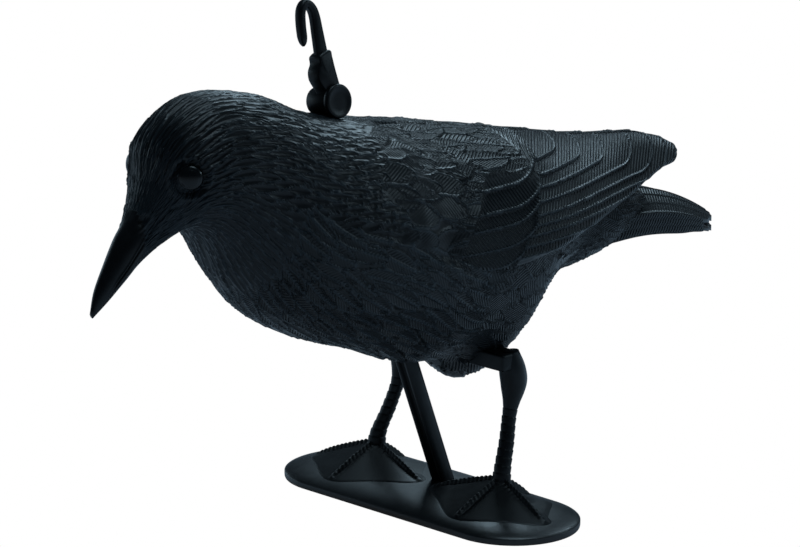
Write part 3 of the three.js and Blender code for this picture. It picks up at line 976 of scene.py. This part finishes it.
@dataclass
class Wing:
    """One folded wing: an arc from its edge along the back to its lower edge, and back inside.

    Each section is its place, the crest's and the lower edge's distance across and up, the
    swell between them and the thickness. Small are the three kinds of small feathers, in front,
    behind them and on the shoulder, with the width of their columns. The arc is where the
    coverts end: their last place along X at a height.
    """

    side: Side
    sections: Rows = (
        (-76.0, 7, 116.5, 40, 60.5, 8.5, 7), (-43.0, 5, 112.7, 48.5, 52.5, 11.5, 8),
        (-13.0, 4, 107.1, 52.5, 48.0, 12.5, 8), (22.0, 3.5, 100.1, 51.0, 51.5, 12.0, 8),
        (47.0, 3, 94.9, 45, 55.0, 9.5, 8), (72.0, 2.5, 89.3, 36.5, 57.5, 7.0, 7.5),
        (97.0, 2.2, 85.3, 27.5, 60.5, 4.8, 6.5), (121.0, 2.5, 82.1, 21, 66.0, 3.2, 5.5),
        (134.8, 4, 78.5, 17.5, 67.1, 2.0, 4.5), (142.4, 8, 73.9, 13, 69.5, 0.6, 2.0))
    rings: int = 330
    outer: int = 124
    inner: int = 16
    small: tuple[tuple[Plumage, float], ...] = (
        (replace(LENS, tilt=0.14, seed=21), 5.6),
        (replace(LESSER, rise=0.8, rim=0.45, tilt=0.2, wander=0.4), 10.5),
        (replace(SCAPULAR, row=16.0, length=36.0, half=6.4, blunt=0.7, barb=0.8, tilt=0.2,
                 wander=0.5), 11.0))
    primaries: LongFeathers = LongFeathers(
        ((164.0, 64), (158.5, 78), (153.0, 93), (148.3, 109), (142.8, 127), (137.6, 138),
         (133.6, 147), (129.8, 153), (125.5, 158), (121.3, 163)),
        curl=12, span=24, rise=1.0, lean=-0.3, sunk=0.5)
    coverts: LongFeathers = LongFeathers(
        ((166.0, 30), (160.0, 41), (152.0, 37), (143.0, 32), (136.5, 27), (127.5, 21),
         (119.0, 12), (110.0, 2)),
        curl=8, span=26, rise=0.9, lean=0.9)
    arc: tuple[Pair, ...] = (
        (108, -10), (116, -1), (126, 8), (134, 18), (143, 24), (151, 30), (159, 37), (168, 45))
    arc_rim: float = 0.5
    flow_lean: float = 0.25
    flow_height: float = 150.0
    lesser_front: Pair = (-62, -54)
    shoulder_front: Pair = (-56, -40)
    shoulder_up: Pair = (146, 154)
    shoulder_over: Pair = (157, 161)
    shoulder_end: Pair = (34, 24)
    covert_front: float = -8.0
    covert_height: float = 152.0
    covert_lean: float = 0.9
    sink: float = 0.8
    ease: float = 1.6
    ease_width: float = 2.0
    tuck: float = 4.0
    tuck_from: Pair = (-46, -58)

    def grid(self) -> tuple[Array, Array]:
        """The wing's outer surface.

        A point is on the chord from crest to lower edge, moved out by four times the swell
        times the share times one minus the share.

        Returns:
            Points, and their share across from crest to lower edge.
        """
        rows = spline(np.array(self.sections), np.linspace(0, 1, self.rings))[:, None, :]
        across = np.linspace(0, 1, self.outer)[None, :]
        y = rows[..., 1] * (1 - across) + rows[..., 3] * across
        z = rows[..., 2] * (1 - across) + rows[..., 4] * across
        out_y, out_z = rows[..., 2] - rows[..., 4], rows[..., 3] - rows[..., 1]
        size = np.hypot(out_y, out_z)
        bulge = 4 * rows[..., 5] * across * (1 - across)
        points = from_hips(rows[..., 0], y + out_y / size * bulge, z + out_z / size * bulge)
        return points, np.broadcast_to(across, y.shape)

    def relief(self, points: Array, column: Array) -> Relief:
        """Scattered small feathers in front, then the nested coverts and the long primaries.

        Args:
            points: the outer surface.
            column: millimetres across it from the crest.

        Returns:
            The relief.
        """
        x, z = points[..., 0], points[..., 2]
        flow = x + self.flow_lean * (z - self.flow_height)
        lens, lesser, shoulder = (plumage.lay(flow, column / wide, np.full_like(x, wide))
                                  for plumage, wide in self.small)
        behind = step(*self.shoulder_front, x)
        made = lens.under(lesser, step(*self.lesser_front, x))
        made = made.under(shoulder, step(*self.shoulder_up, z) * behind)
        front = self.covert_front - self.covert_lean * (self.covert_height - z)
        covert = step(-3, 3, x - front)
        made = made.under(self.coverts.relief(points), covert)
        over = step(*self.shoulder_over, z + 0.1 * x) * step(*self.shoulder_end, x)
        made = made.under(shoulder, over * behind)
        end = np.interp(z, *np.array(self.arc).T)
        made.lift = made.lift + self.arc_rim * bell(x - end + 0.8, 0.9) * covert
        made.edge = np.minimum(made.edge, np.where(x < end, spread(end - x, points), FAR))
        return made.under(self.primaries.relief(points), step(-0.4, 0.4, x - end))

    def piece(self) -> Piece:
        """The carved wing as a closed shell with eased edges, tucked in at its front.

        Returns:
            The piece.
        """
        points, across = self.grid()
        chord = np.linalg.norm(np.diff(points, axis=1), axis=2).sum(1)[:, None]
        made = self.relief(points, across * chord)
        made.lift = made.lift * (0.25 + 0.75 * step(0, 6, across * chord))
        out = facing(normals_of(points, ring=False), np.array([0, 1, 0]))
        rim = np.minimum(across, 1 - across) * chord
        ease = self.ease * np.clip(1 - rim / self.ease_width, 0, 1) ** 2
        front = self.tuck * step(*self.tuck_from, points[..., 0])
        face = points + out * (made.lift - self.sink - ease - front)[..., None]
        rows = spline(np.array(self.sections), np.linspace(0, 1, self.rings))
        picks = np.linspace(self.outer - 1, 0, self.inner).astype(int)
        back = points[:, picks] - out[:, picks] * rows[:, 6, None, None]
        loop = self.side.mirrored(np.concatenate([face, back], 1))
        made = Relief.joined([made, Relief.flat(np.zeros(back.shape[:2]))], 1)
        return Piece(self.side.named("wing"), "body", "body").shell(loop, made)


@dataclass
class Tail:
    """The tail fan: a low roof that droops to a rounded end, with long overlapping feathers.

    Each section is its place back from the hips, its half width and its thickness.
    """

    sections: Rows = (
        (52.0, 17.0, 18), (90.0, 23.0, 15), (129.0, 22.5, 14), (151.0, 21.5, 10.5),
        (175.0, 20.5, 7.5))
    high_at: float = 90.0
    high_up: float = 57.2
    droop: float = 24.0
    bend: float = 2.2
    roof: float = 9.0
    rounding: float = 22.0
    feathers: int = 7
    notch: float = 2.0
    rings: int = 190
    steps: int = 141
    wall_steps: int = 11
    wall_lines: float = 0.35
    step_up: float = 1.5
    ridge: float = 0.8
    pitch: float = 1.9

    def sheets(self, along: Array, across: Array) -> tuple[Array, Array]:
        """The smooth upper and lower surface.

        Back is the place along less the rounding times across squared times along to the
        fourth. The droop is a power of the share past the high place, and the roof falls with
        the power 1.5 of the distance across.

        Args:
            along: share from the root to the end.
            across: share from the middle to the sides, -1 to 1.

        Returns:
            The points of each.
        """
        rows = spline(np.array(self.sections), along[:, 0])[:, None, :]
        tooth = np.abs(((across + 1) * self.feathers / 2) % 1 - 0.5) * 2
        back = (rows[..., 0] - self.rounding * across**2 * along**4
                - self.notch * tooth**2 * along**12)
        reach = self.sections[-1][0] - self.high_at
        fall = self.droop * np.clip((back - self.high_at) / reach, 0, None) ** self.bend
        up = self.high_up - fall - self.roof * np.abs(across) ** 1.5
        thick = rows[..., 2] * (1 - 0.25 * across**4)
        return (from_hips(back, rows[..., 1] * across, up),
                from_hips(back, rows[..., 1] * across, up - thick))

    @staticmethod
    def carved(points: Array, height: Array, up: int) -> Array:
        """A surface moved along its normals.

        Args:
            points: the smooth surface.
            height: how far out.
            up: 1 where it faces up, and -1 where it faces down.

        Returns:
            The carved surface.
        """
        out = normals_of(points, ring=False)
        out = np.where(out[..., 2:3] * up < 0, -out, out)
        return points + out * height[..., None]

    def wall(self, face: Array, base: Array, column: int, down: Array) -> Array:
        """The wall between both surfaces at one side, with three fine grooves.

        Args:
            face: the upper surface.
            base: the lower surface.
            column: -1 for the side at +Y, and 0 for the other.
            down: shares of the way down.

        Returns:
            Points from the top down, for each ring.
        """
        wall = (face[:, column, None] * (1 - down[:, None])
                + base[:, column, None] * down[:, None])
        swell = self.wall_lines * np.abs(np.sin(down * math.pi * 3))
        wall[..., 1] += swell if column else -swell
        return wall

    def hoop(self, over: Array, under: Array) -> Array:
        """A ring that goes out on one surface, stays at its side, and comes back on the other."""
        return np.concatenate([over, over[:, -1:].repeat(self.wall_steps, 1), under[:, ::-1],
                               under[:, :1].repeat(self.wall_steps, 1)], 1)

    def piece(self) -> Piece:
        """The tail as a closed shell, whose end is drawn together to its middle line.

        Returns:
            The piece.
        """
        along = np.linspace(0, 1, self.rings)[:, None]
        across = np.linspace(-1, 1, self.steps)[None, :]
        down = np.linspace(0.08, 0.92, self.wall_steps)
        over, under = self.sheets(along, across)
        aside = np.abs(across) + 0 * along
        blade = (aside * self.feathers / 2 + 0.5) % 1
        lift = self.step_up * (1 - blade) * step(0, 0.08, blade) + 0.3 * bell(blade - 0.12, 0.06)
        ridges = self.ridge * np.sin(aside * 26) * step(0.15, 0.3, along)
        edge = step(1.0, 0.93, aside) * step(1.0, 0.985, along)
        face = self.carved(over, (lift - 1.0) * edge, 1)
        base = self.carved(under, (ridges - 0.6) * edge, -1)
        loop = np.concatenate([face, self.wall(face, base, -1, down), base[:, ::-1],
                               self.wall(face, base, 0, down)[:, ::-1]], 1)
        middle = self.hoop(face[-1:], base[-1:]) * 0.5 + 0.5 * self.hoop(base[-1:], face[-1:])
        out = loop[-1:] - middle
        loop = np.concatenate([loop, middle + out * 0.8, middle + out * 0.3])
        phase = (over[..., 0] - HIP_BACK + 14 * aside) / self.pitch
        blank = np.zeros((self.rings, self.wall_steps))
        top = Relief(phase, 0.3 * edge, lift, blade * FAR)
        side = Relief(phase[:, -1:] + down * 4, blank + 0.8, blank, blank + FAR)
        low = Relief(phase, 0.7 * edge, ridges, 1.2 - ridges)
        made = Relief.joined([top, side, low.turned(), side.turned()], 1)
        last = Relief(*(value[-1:] for value in vars(made).values()))
        return Piece("bird_tail", "body", "body").shell(loop, Relief.joined([made, last, last], 0))


@dataclass
class Eye:
    """A flattened ball sunk into the side of the head, square to its surface."""

    side: Side
    radius: float = 5.6
    height: float = 3.4
    deep: float = 2.2
    rings: int = 40
    steps: int = 72
    groove: float = 0.05
    groove_at: float = 0.82

    def piece(self, trunk: Trunk) -> Piece:
        """The ball: a half circle turned round the surface's normal and flattened along it.

        Args:
            trunk: the head that it sits in.

        Returns:
            The piece.
        """
        at, turn = trunk.eye_along, math.radians(trunk.eye_turn)
        place = trunk.eye_place()
        ahead = trunk.point(np.array(at - 0.02), np.array(turn)) - place
        over = trunk.point(np.array(at), np.array(turn + 0.1)) - place
        normal = unit(np.cross(over, ahead))
        normal = normal * np.sign(normal[1])
        first = unit(ahead)
        first = unit(first - normal * (first @ normal))
        second = np.cross(normal, first)
        fall = np.linspace(0.02, math.pi - 0.02, self.rings)[:, None]
        turns = full_turn(self.steps)
        wide = self.radius * (1 - self.groove * bell(fall - self.groove_at, 0.06)) * np.sin(fall)
        ball = (np.cos(fall)[..., None] * self.height * normal
                + (wide * np.cos(turns))[..., None] * first
                + (wide * np.sin(turns))[..., None] * second)
        points = self.side.mirrored(ball + place - normal * self.deep)
        return Piece(self.side.named("eye"), "body", "body").shell(points)


# The stand.


@dataclass
class Plate:
    """The domed base plate with round ends.

    The lip is the outline's share of the half width and its height, from the rim down.
    """

    length: float = 165.0
    width: float = 62.0
    rim: float = 2.7
    crown: float = 5.0
    fall: float = 0.4
    rings: int = 241
    steps: int = 121
    under_steps: int = 13
    lip: tuple[Pair, ...] = ((1.0, 2.025), (1.0, 1.35), (0.997, 0.6), (0.988, 0.15), (0.975, 0.0))

    def top(self, x: Array, y: Array) -> Array:
        """Height of the dome: the rim plus the crown times (1 - out^3)^0.6, lower to the ends.

        Args:
            x: place across the plate.
            y: place along it.

        Returns:
            The heights.
        """
        radius = self.width / 2
        spine = np.clip(y, radius - self.length / 2, self.length / 2 - radius)
        out = np.minimum(np.hypot(x, y - spine) / radius, 1)
        crown = self.crown * (1 - self.fall * (2 * y / self.length) ** 2)
        return self.rim + crown * (1 - out**3) ** 0.6

    def piece(self) -> Piece:
        """The plate: loops across it from end to end, each over the dome and back underneath.

        Returns:
            The piece.
        """
        radius, reach = self.width / 2, self.length / 2 - self.width / 2
        quarter = math.pi / 2
        y = np.sin(np.linspace(-quarter, quarter, self.rings))[:, None] * self.length / 2
        wide = np.sqrt(np.maximum(radius**2 - np.maximum(np.abs(y) - reach, 0) ** 2, 0.0004))
        x = wide * np.sin(np.linspace(-quarter, quarter, self.steps))[None, :]
        lip, flat = np.array(self.lip), np.linspace(0.9, -0.9, self.under_steps)
        low = np.concatenate([lip[:, 0], flat, -lip[::-1, 0]])
        heights = np.concatenate([lip[:, 1], 0 * flat, lip[::-1, 1]])
        loop = np.concatenate([stacked(x, y, self.top(x, y)), stacked(wide * low, y, heights)], 1)
        return Piece("stand_plate", "stand", "stand").shell(loop)


@dataclass
class Foot:
    """One webbed foot moulded on the plate: a cone, four scaled toe ridges and the webs.

    Each toe is its length and its bearing from straight ahead.
    """

    side: Side
    ankle_back: float = 5.0
    ankle_height: float = 21.0
    middle: float = 40.0
    toes: tuple[Pair, ...] = ((37, 80), (30, 0), (35, -80), (19, 180))
    toe_rise: float = 12.4
    toe_half: float = 2.3
    scale: float = 0.8
    scale_pitch: float = 2.3
    scale_half: float = 1.7
    web: float = 29.0
    web_rise: float = 11.5
    cone: float = 7.0
    sink: float = 0.8
    spokes: int = 420
    steps: int = 84

    def reach(self, turn: Array) -> Array:
        """How far the foot goes to a bearing: the web's radius and a bump for each toe.

        Args:
            turn: bearings in radians.

        Returns:
            The radii.
        """
        bumps = [(length + 2 - self.web) * np.exp(-14 * (1 - np.cos(turn - math.radians(angle))))
                 for length, angle in self.toes]
        return self.web + sum(bumps)

    def rise(self, radius: Array, turn: Array, hub: float) -> Array:
        """Height over the plate: the highest of the cone, the scaled toe ridges and the web.

        Args:
            radius: distance from the ankle.
            turn: bearing.
            hub: the cone's height.

        Returns:
            The heights.
        """
        made = hub * np.exp(-((radius / self.cone) ** 1.25))
        scales = np.zeros_like(made)
        for length, angle in self.toes:
            apart = turn - math.radians(angle)
            along, aside = radius * np.cos(apart), radius * np.sin(apart)
            taper = np.clip(1 - along / length, 0, None) ** 0.8
            ridge = np.where(along < 0, 0, self.toe_rise * taper * bell(aside, self.toe_half))
            knurl = np.abs(np.sin(math.pi * along / self.scale_pitch)) ** 0.6 - 0.7
            knurl = np.where(along > 3, self.scale * knurl * bell(aside, self.scale_half), 0)
            scales = scales + knurl * step(0, 1.5, ridge)
            made = np.maximum(made, ridge)
        full = 0.2 + 0.8 * step(-0.04, 0.17, np.cos(turn))
        web = self.web_rise * full * np.clip(1 - radius / self.reach(turn), 0, None) ** 1.25
        return np.maximum(made, web) + scales

    def piece(self, plate: Plate) -> Piece:
        """Spokes round the ankle, each from the plate's edge up to the cone.

        Args:
            plate: what the foot is moulded on.

        Returns:
            The piece.
        """
        turn, half = full_turn(self.spokes), self.steps // 2
        share = np.concatenate([np.linspace(1, 0.3, half), np.linspace(0.29, 0.01, half)])[:, None]
        radius = share * self.reach(turn)
        x = self.ankle_back - radius * np.cos(turn)
        y = self.middle - radius * np.sin(turn)
        ankle = plate.top(np.array(self.ankle_back), np.array(self.middle))
        lift = self.rise(radius, turn, self.ankle_height - float(ankle))
        lift = np.where(share >= 1, -self.sink, lift - self.sink * step(0.5, 0.0, lift))
        base = stacked(x[:1], y[:1], plate.rim / 2)
        points = np.concatenate([base, stacked(x, y, plate.top(x, y) + lift)])
        return Piece(self.side.named("foot"), "stand", "stand").shell(self.side.mirrored(points))


@dataclass
class Leg:
    """One leg, scaled up to the hock, with the arm that plugs into the belly.

    Each section is its place along X, its height, its share of the splay, and its half depth and
    half width.
    """

    side: Side
    sections: Rows = (
        (5.2, 13, 1, 4.6, 4.6), (6.4, 22, 0.95, 3.9, 3.8), (11.0, 33, 0.5, 3.5, 3.4),
        (14.4, 43, 0.1, 3.3, 3.2), (16.2, 49, 0, 3.8, 3.5), (18.4, 58, 0, 6.4, 5.4),
        (17.4, 66, 0, 6.6, 5.4), (15.4, 74.5, 0, 4.6, 3.6))
    offset: float = 35.5
    splay: float = 4.5
    rings: int = 230
    steps: int = 64
    scale: float = 0.13
    scale_pitch: float = 3.4
    scale_end: Pair = (52, 44)
    muscle: float = 0.07
    muscle_from: Pair = (50, 58)
    arm_depth: float = 12.0
    arm_thick: float = 8.0
    arm_power: float = 9.0
    arm_inner: float = 11.5
    arm_outer: float = 39.1
    arm_ease: tuple[float, ...] = (0.8, 0.3, 0.0, 0.0, 0.3, 0.9)

    def shank(self) -> Array:
        """The leg up its centre line, with scales that swell and lap every few millimetres.

        A scale's swell is the root of the share up it, and drops at its end. The calf's muscle
        is a wave of three turns round it.

        Returns:
            Rings of points, drawn on the right side.
        """
        rows = spline(np.array(self.sections), np.linspace(0, 1, self.rings))[:, None, :]
        turn, up = full_turn(self.steps), rows[..., 1]
        lap = (up / self.scale_pitch + 0.25 * np.cos(turn)) % 1
        swell = lap**0.5 * step(1.0, 0.85, lap) - 0.5
        scale = 1 + self.scale * swell * step(*self.scale_end, up)
        scale = scale * (1 + self.muscle * np.cos(3 * turn + 0.5) * step(*self.muscle_from, up))
        x = rows[..., 0] + rows[..., 3] * scale * np.cos(turn)
        y = self.offset + self.splay * rows[..., 2] + rows[..., 4] * scale * np.sin(turn)
        return stacked(x, y, up)

    def arm(self) -> Array:
        """The arm: rounded oblong rings from the belly out, drawn in at both ends.

        Returns:
            Rings of points, drawn on the right side.
        """
        ease, ends = np.array(self.arm_ease)[:, None], np.array([0.0, 0.4, 1.2])
        y = np.concatenate([self.arm_inner + ends, self.arm_outer - ends[::-1]])[:, None]
        turn = full_turn(48)
        x = (self.arm_depth / 2 - ease) * bent(np.cos(turn), self.arm_power)
        z = (self.arm_thick / 2 - ease) * bent(np.sin(turn), self.arm_power)
        return from_hips(x, y, z)

    def piece(self) -> Piece:
        """The leg and its arm."""
        made = Piece(self.side.named("leg"), "stand", "stand")
        return made.shell(self.side.mirrored(self.shank())).shell(self.side.mirrored(self.arm()))


@dataclass
class Prop:
    """The H-shaped prop that leans from the plate up into the belly."""

    width: float = 7.4
    depth: float = 7.2
    flange: float = 1.7
    groove: float = 2.0
    foot_back: float = 10.4
    lean: float = 21.2
    plug: float = 23.0
    seat: float = 2.0
    gap: float = 0.3
    bevel: float = 0.25
    end_share: float = 0.94
    rings: int = 30

    def outline(self) -> Array:
        """The H: a quarter of its corners mirrored round, with each corner bevelled.

        Returns:
            Points across and ahead, in order round the bar.
        """
        w, d, f, g = self.width / 2, self.depth / 2, self.flange, self.groove
        quarter = np.array([(w, 0), (w, d), (w - f, d), (w - f, d - g), (0, d - g)])
        corners = np.concatenate([quarter, (quarter * [-1, 1])[-2::-1], (quarter * [-1, -1])[1:],
                                  (quarter * [1, -1])[-2:0:-1]])
        pulled = [corners + unit(np.roll(corners, way, 0) - corners) * self.bevel
                  for way in (1, -1)]
        return np.stack(pulled, 1).reshape(-1, 2)

    def piece(self) -> Piece:
        """Rings of the outline along the lean, drawn in a little at both ends.

        Returns:
            The piece.
        """
        lean = math.radians(self.lean)
        lift = self.seat + self.depth / 2 * math.sin(lean) + self.gap
        length = (HIP_HEIGHT + self.plug - lift) / math.cos(lean)
        places = np.concatenate([[0, self.bevel], np.linspace(2, length - 2, self.rings),
                                 [length - self.bevel, length]])[:, None, None]
        ends = (places == 0) | (places == length)
        flat = self.outline()[None] * np.where(ends, self.end_share, 1.0)
        along = np.array([-math.sin(lean), 0, math.cos(lean)])
        across = np.array([0.0, 1.0, 0.0])
        points = (flat[..., :1] * across + flat[..., 1:] * np.cross(along, across)
                  + places * along + np.array([self.foot_back, 0, lift]))
        return Piece("belly_prop", "prop", "prop").shell(points)


@dataclass
class Hanger:
    """The hanger: a barrel with a side disc in the back, and the bar that ends in the hook.

    A drum is its radius, its two ends along the side axis and its height. The plug is its radius
    and its lower and upper end. The outline is the cheek's, ahead and up, and the line is the
    bar's middle, ahead and up from the knuckle, with its width.
    """

    back: float = -74.0
    forward: float = 16.5
    aside: float = 8.0
    plug: Triple = (4.4, -12.0, 7.2)
    plug_bevel: float = 0.6
    barrel: tuple[float, float, float, float] = (6.2, -7.0, 5.5, 7.2)
    disc: tuple[float, float, float, float] = (7.5, 5.5, 8.3, 7.2)
    knuckle: tuple[float, float, float, float] = (5.3, -1.3, 6.3, 19.6)
    outline: tuple[Pair, ...] = (
        (3.9, 7.2), (3.5, 12.5), (4.6, 16.4), (5.25, 19.8), (4.3, 23.2), (1.8, 25.8), (0.4, 29.0),
        (-5.9, 29.0), (-6.0, 26.5), (-5.6, 22.5), (-5.3, 19), (-5.0, 14), (-4.6, 7.2), (0, 6.4))
    bar_thick: float = 4.3
    bar_aside: float = 2.5
    bar_rings: int = 120
    line: tuple[Triple, ...] = (
        (-1.5, 0, 7.0), (-3.0, 8, 6.4), (-4.8, 17, 5.4), (-6.4, 25.4, 4.4), (-5.8, 29.8, 4.0),
        (-3.4, 32.3, 3.8), (0.0, 30.4, 3.8), (2.6, 24.4, 3.8), (4.8, 15.8, 3.6))

    def placed(self, points: Array, trunk: Trunk) -> Array:
        """Moves points onto the back, where the hanger leans forwards and to its side.

        Args:
            points: distances ahead, to the side and up the bar.
            trunk: the back that it stands in.

        Returns:
            Points of the part's frame.
        """
        f, a = math.radians(self.forward), math.radians(self.aside)
        rise = np.array([-math.sin(f) * math.cos(a), math.sin(a), math.cos(f) * math.cos(a)])
        side = unit(np.cross(rise, unit(np.array([-1.0, 0, 0]) + rise * rise[0])))
        crest = spline(np.array(trunk.sections)[:, :2], np.linspace(0, 1, 4001))
        height = float(np.interp(self.back, crest[:, 0], crest[:, 1]))
        axes = np.stack([np.cross(side, rise), side, rise])
        return points @ axes + from_hips(self.back, 0.0, height)

    @staticmethod
    def drum(size: tuple[float, ...], edge: float = 0.7, dish: float = 0.0) -> Array:
        """A drum about the side axis with rounded edges and a shallow dish in its far face.

        Args:
            size: radius, both ends and height.
            edge: how far the rounding goes along it.
            dish: the dish's depth.

        Returns:
            Rings of points.
        """
        radius, low, high, rise = size
        out = np.array([0.6, 0.88, 0.97, 1.0, 1.0, 0.97, 0.88, 0.8, 0.72, 0.4, 0.2])[:, None]
        at = np.array([low, low + 0.05, low + edge * 0.4, low + edge, high - edge,
                       high - edge * 0.4, high - 0.05, high - 0.05,
                       high - dish, high - dish, high - dish])[:, None]
        turn = full_turn(72)
        return stacked(radius * out * np.cos(turn), at, rise + radius * out * np.sin(turn))

    def cheek(self) -> Array:
        """The plate from the barrel up round the knuckle and into the bar.

        Its outline is a spline through drawn points, and it narrows towards both faces.

        Returns:
            Rings of points.
        """
        _, low, high, rise = self.knuckle
        drawn = np.array([*self.outline, self.outline[0]])
        loop = spline(drawn, np.linspace(0, 1, 97)[:-1])
        middle = np.array([-0.6, rise - 2])
        narrow = np.array([0.90, 0.965, 1.0, 1.0, 0.965, 0.90])[:, None, None]
        flat = middle + (loop - middle) * narrow
        at = np.array([low, low + 0.25, low + 0.9, high - 0.9, high - 0.25, high])[:, None]
        return stacked(flat[..., 0], at, flat[..., 1])

    def bar(self) -> Array:
        """The bar and hook: flattened rings along the drawn centre line, rounded at the tip.

        Returns:
            Rings of points.
        """
        rows = spline(np.array(self.line), np.linspace(0, 1, self.bar_rings))
        along = unit(np.gradient(rows[:, :2], axis=0))
        near = np.linspace(-14, 1, self.bar_rings).clip(0, 1)
        tip = np.sqrt(np.clip(1 - near**2, 0.05, 1))[:, None]
        turn = full_turn(40)
        out = rows[:, 2:3] / 2 * tip * bent(np.cos(turn), 3.0)
        at = self.bar_aside + self.bar_thick / 2 * tip * bent(np.sin(turn), 3.0)
        return stacked(rows[:, :1] + along[:, 1:2] * out, at,
                       self.knuckle[3] + rows[:, 1:2] - along[:, :1] * out)

    def shaft(self) -> Array:
        """The round plug that goes down into the back, bevelled at its lower end.

        Returns:
            Rings of points.
        """
        radius, low, high = self.plug
        up = np.array([low, low + self.plug_bevel, high])[:, None]
        wide = np.array([radius - self.plug_bevel, radius, radius])[:, None]
        turn = full_turn(48)
        return stacked(wide * np.cos(turn), wide * np.sin(turn), up)

    def piece(self, trunk: Trunk) -> Piece:
        """All of the hanger's shells, placed on the back.

        Args:
            trunk: the back that it stands in.

        Returns:
            The piece.
        """
        made = Piece("hanger_hook", "hanger", "hanger")
        for shell in (self.shaft(), self.drum(self.barrel), self.drum(self.disc, 0.6, 0.35),
                      self.cheek(), self.bar()):
            made.shell(self.placed(shell, trunk))
        return made


# Camera, floor and light.


def aimed(right: Array, back: Array, place: Array) -> Matrix:
    """The matrix of a camera or lamp from its right and back axes and its place."""
    axes = np.stack([right, np.cross(back, right), back, place], -1)
    return Matrix([*axes.tolist(), [0, 0, 0, 1]])


@dataclass(frozen=True)
class Lamp:
    """A soft box that faces the bird: its place and size in metres and its power."""

    name: str
    place: Triple
    size: Pair
    power: float
    colour: Triple = (0.62, 0.85, 1.0)
    target: Triple = (0.0, 0.0, 0.12)

    def build(self) -> None:
        """Hangs the soft box with its back square to the line from the bird."""
        data = bpy.data.lights.new(self.name, "AREA")
        data.shape, data.size, data.size_y = "RECTANGLE", *self.size
        data.energy, data.color = self.power, self.colour
        back = unit(np.array(self.place) - np.array(self.target))
        right = unit(np.cross([0, 0, 1.0], back))
        linked(self.name, data).matrix_world = aimed(right, back, np.array(self.place))


@dataclass(frozen=True)
class Studio:
    """A plain pale floor, soft boxes, and the camera at the photograph's angle.

    The camera's distance and aim are in millimetres, and its aim is to the right and up.
    """

    azimuth: float = -45.0
    elevation: float = 14.7
    distance: float = 1800.0
    lens: float = 177.0
    sensor: float = 36.0
    aim: Pair = (-13.5, 103.2)
    floor_half: float = 6.0
    floor_matt: Triple = (0.62, 0.76, 0.90)
    floor_gloss: float = 0.10
    surround: Triple = (0.52, 0.75, 1.0)
    surround_power: float = 0.045
    lamps: tuple[Lamp, ...] = (
        Lamp("top_box", (0.1, 0.0, 1.3), (0.9, 0.5), 4.6),
        Lamp("back_box", (0.9, 0.5, 0.85), (0.7, 0.3), 5.0),
        Lamp("side_box", (1.0, -0.85, 0.62), (0.5, 0.22), 1.6),
        Lamp("horizon_left", (-0.2, 1.6, 0.3), (1.6, 0.5), 2.5),
        Lamp("horizon_right", (1.6, -0.2, 0.3), (1.6, 0.5), 0.3))

    def camera(self) -> None:
        """Places the camera."""
        a, e = math.radians(self.azimuth), math.radians(self.elevation)
        back = np.array([math.sin(a) * math.cos(e), -math.cos(a) * math.cos(e), math.sin(e)])
        right = np.array([math.cos(a), math.sin(a), 0.0])
        eye = back * self.distance + right * self.aim[0] + np.cross(back, right) * self.aim[1]
        data = bpy.data.cameras.new("photo_camera")
        data.lens, data.sensor_width = self.lens, self.sensor
        data.clip_start, data.clip_end = 0.05, 50.0
        camera = linked("photo_camera", data)
        camera.matrix_world = aimed(right, back, eye * METRE)
        bpy.context.scene.camera = camera

    def floor(self) -> None:
        """A flat floor: white to the eye, cool and matt to the lamps, and faint in the gloss."""
        mesh = bpy.data.meshes.new("floor")
        corners = [(x * self.floor_half, y * self.floor_half, 0)
                   for x, y in ((-1, -1), (1, -1), (1, 1), (-1, 1))]
        mesh.from_pydata(corners, [], [(0, 1, 2, 3)])
        floor = linked("floor", mesh)
        board = Board("floor_paint")
        seen = board.node("ShaderNodeLightPath", {}, {}, "Is Camera Ray")
        mirrored = board.node("ShaderNodeLightPath", {}, {}, "Is Glossy Ray")
        matt = board.node("ShaderNodeBsdfPrincipled", {}, {
            "Base Color": (*self.floor_matt, 1.0), "Roughness": 0.9, "Specular IOR Level": 0.1})
        glow = board.node("ShaderNodeEmission", {},
                          {"Color": (1.0, 1.0, 1.0, 1.0), "Strength": 1.0})
        share = (seen + mirrored * self.floor_gloss).clamped()
        shader = board.node("ShaderNodeMixShader", {}, {0: share, 1: matt, 2: glow})
        board.node("ShaderNodeOutputMaterial", {}, {"Surface": shader})
        mesh.materials.append(board.made)

    def light(self) -> None:
        """Soft boxes overhead, behind and at both sides, and a dim even surround."""
        for lamp in self.lamps:
            lamp.build()
        world = bpy.context.scene.world or bpy.data.worlds.new("surround")
        bpy.context.scene.world = world
        world.use_nodes = True
        shade = world.node_tree.nodes["Background"]
        shade.inputs[0].default_value = (*self.surround, 1.0)
        shade.inputs[1].default_value = self.surround_power
        bpy.context.scene.view_settings.view_transform = "Standard"


def main() -> None:
    """Builds the bird, its stand and the studio in order."""
    logging.basicConfig(level=logging.INFO, format="%(message)s")
    trunk, plate = Trunk(), Plate()
    trunk.piece().build(FEATHERED)
    Tail().piece().build(FEATHERED)
    plate.piece().build(PLATE)
    Prop().piece().build(STAND)
    Hanger().piece(trunk).build(FITTING)
    for side in Side:
        Wing(side).piece().build(FEATHERED)
        Eye(side).piece(trunk).build(EYE)
        Foot(side).piece(plate).build(STAND)
        Leg(side).piece().build(STAND)
    studio = Studio()
    studio.camera()
    studio.floor()
    studio.light()


if __name__ == "__main__":
    main()
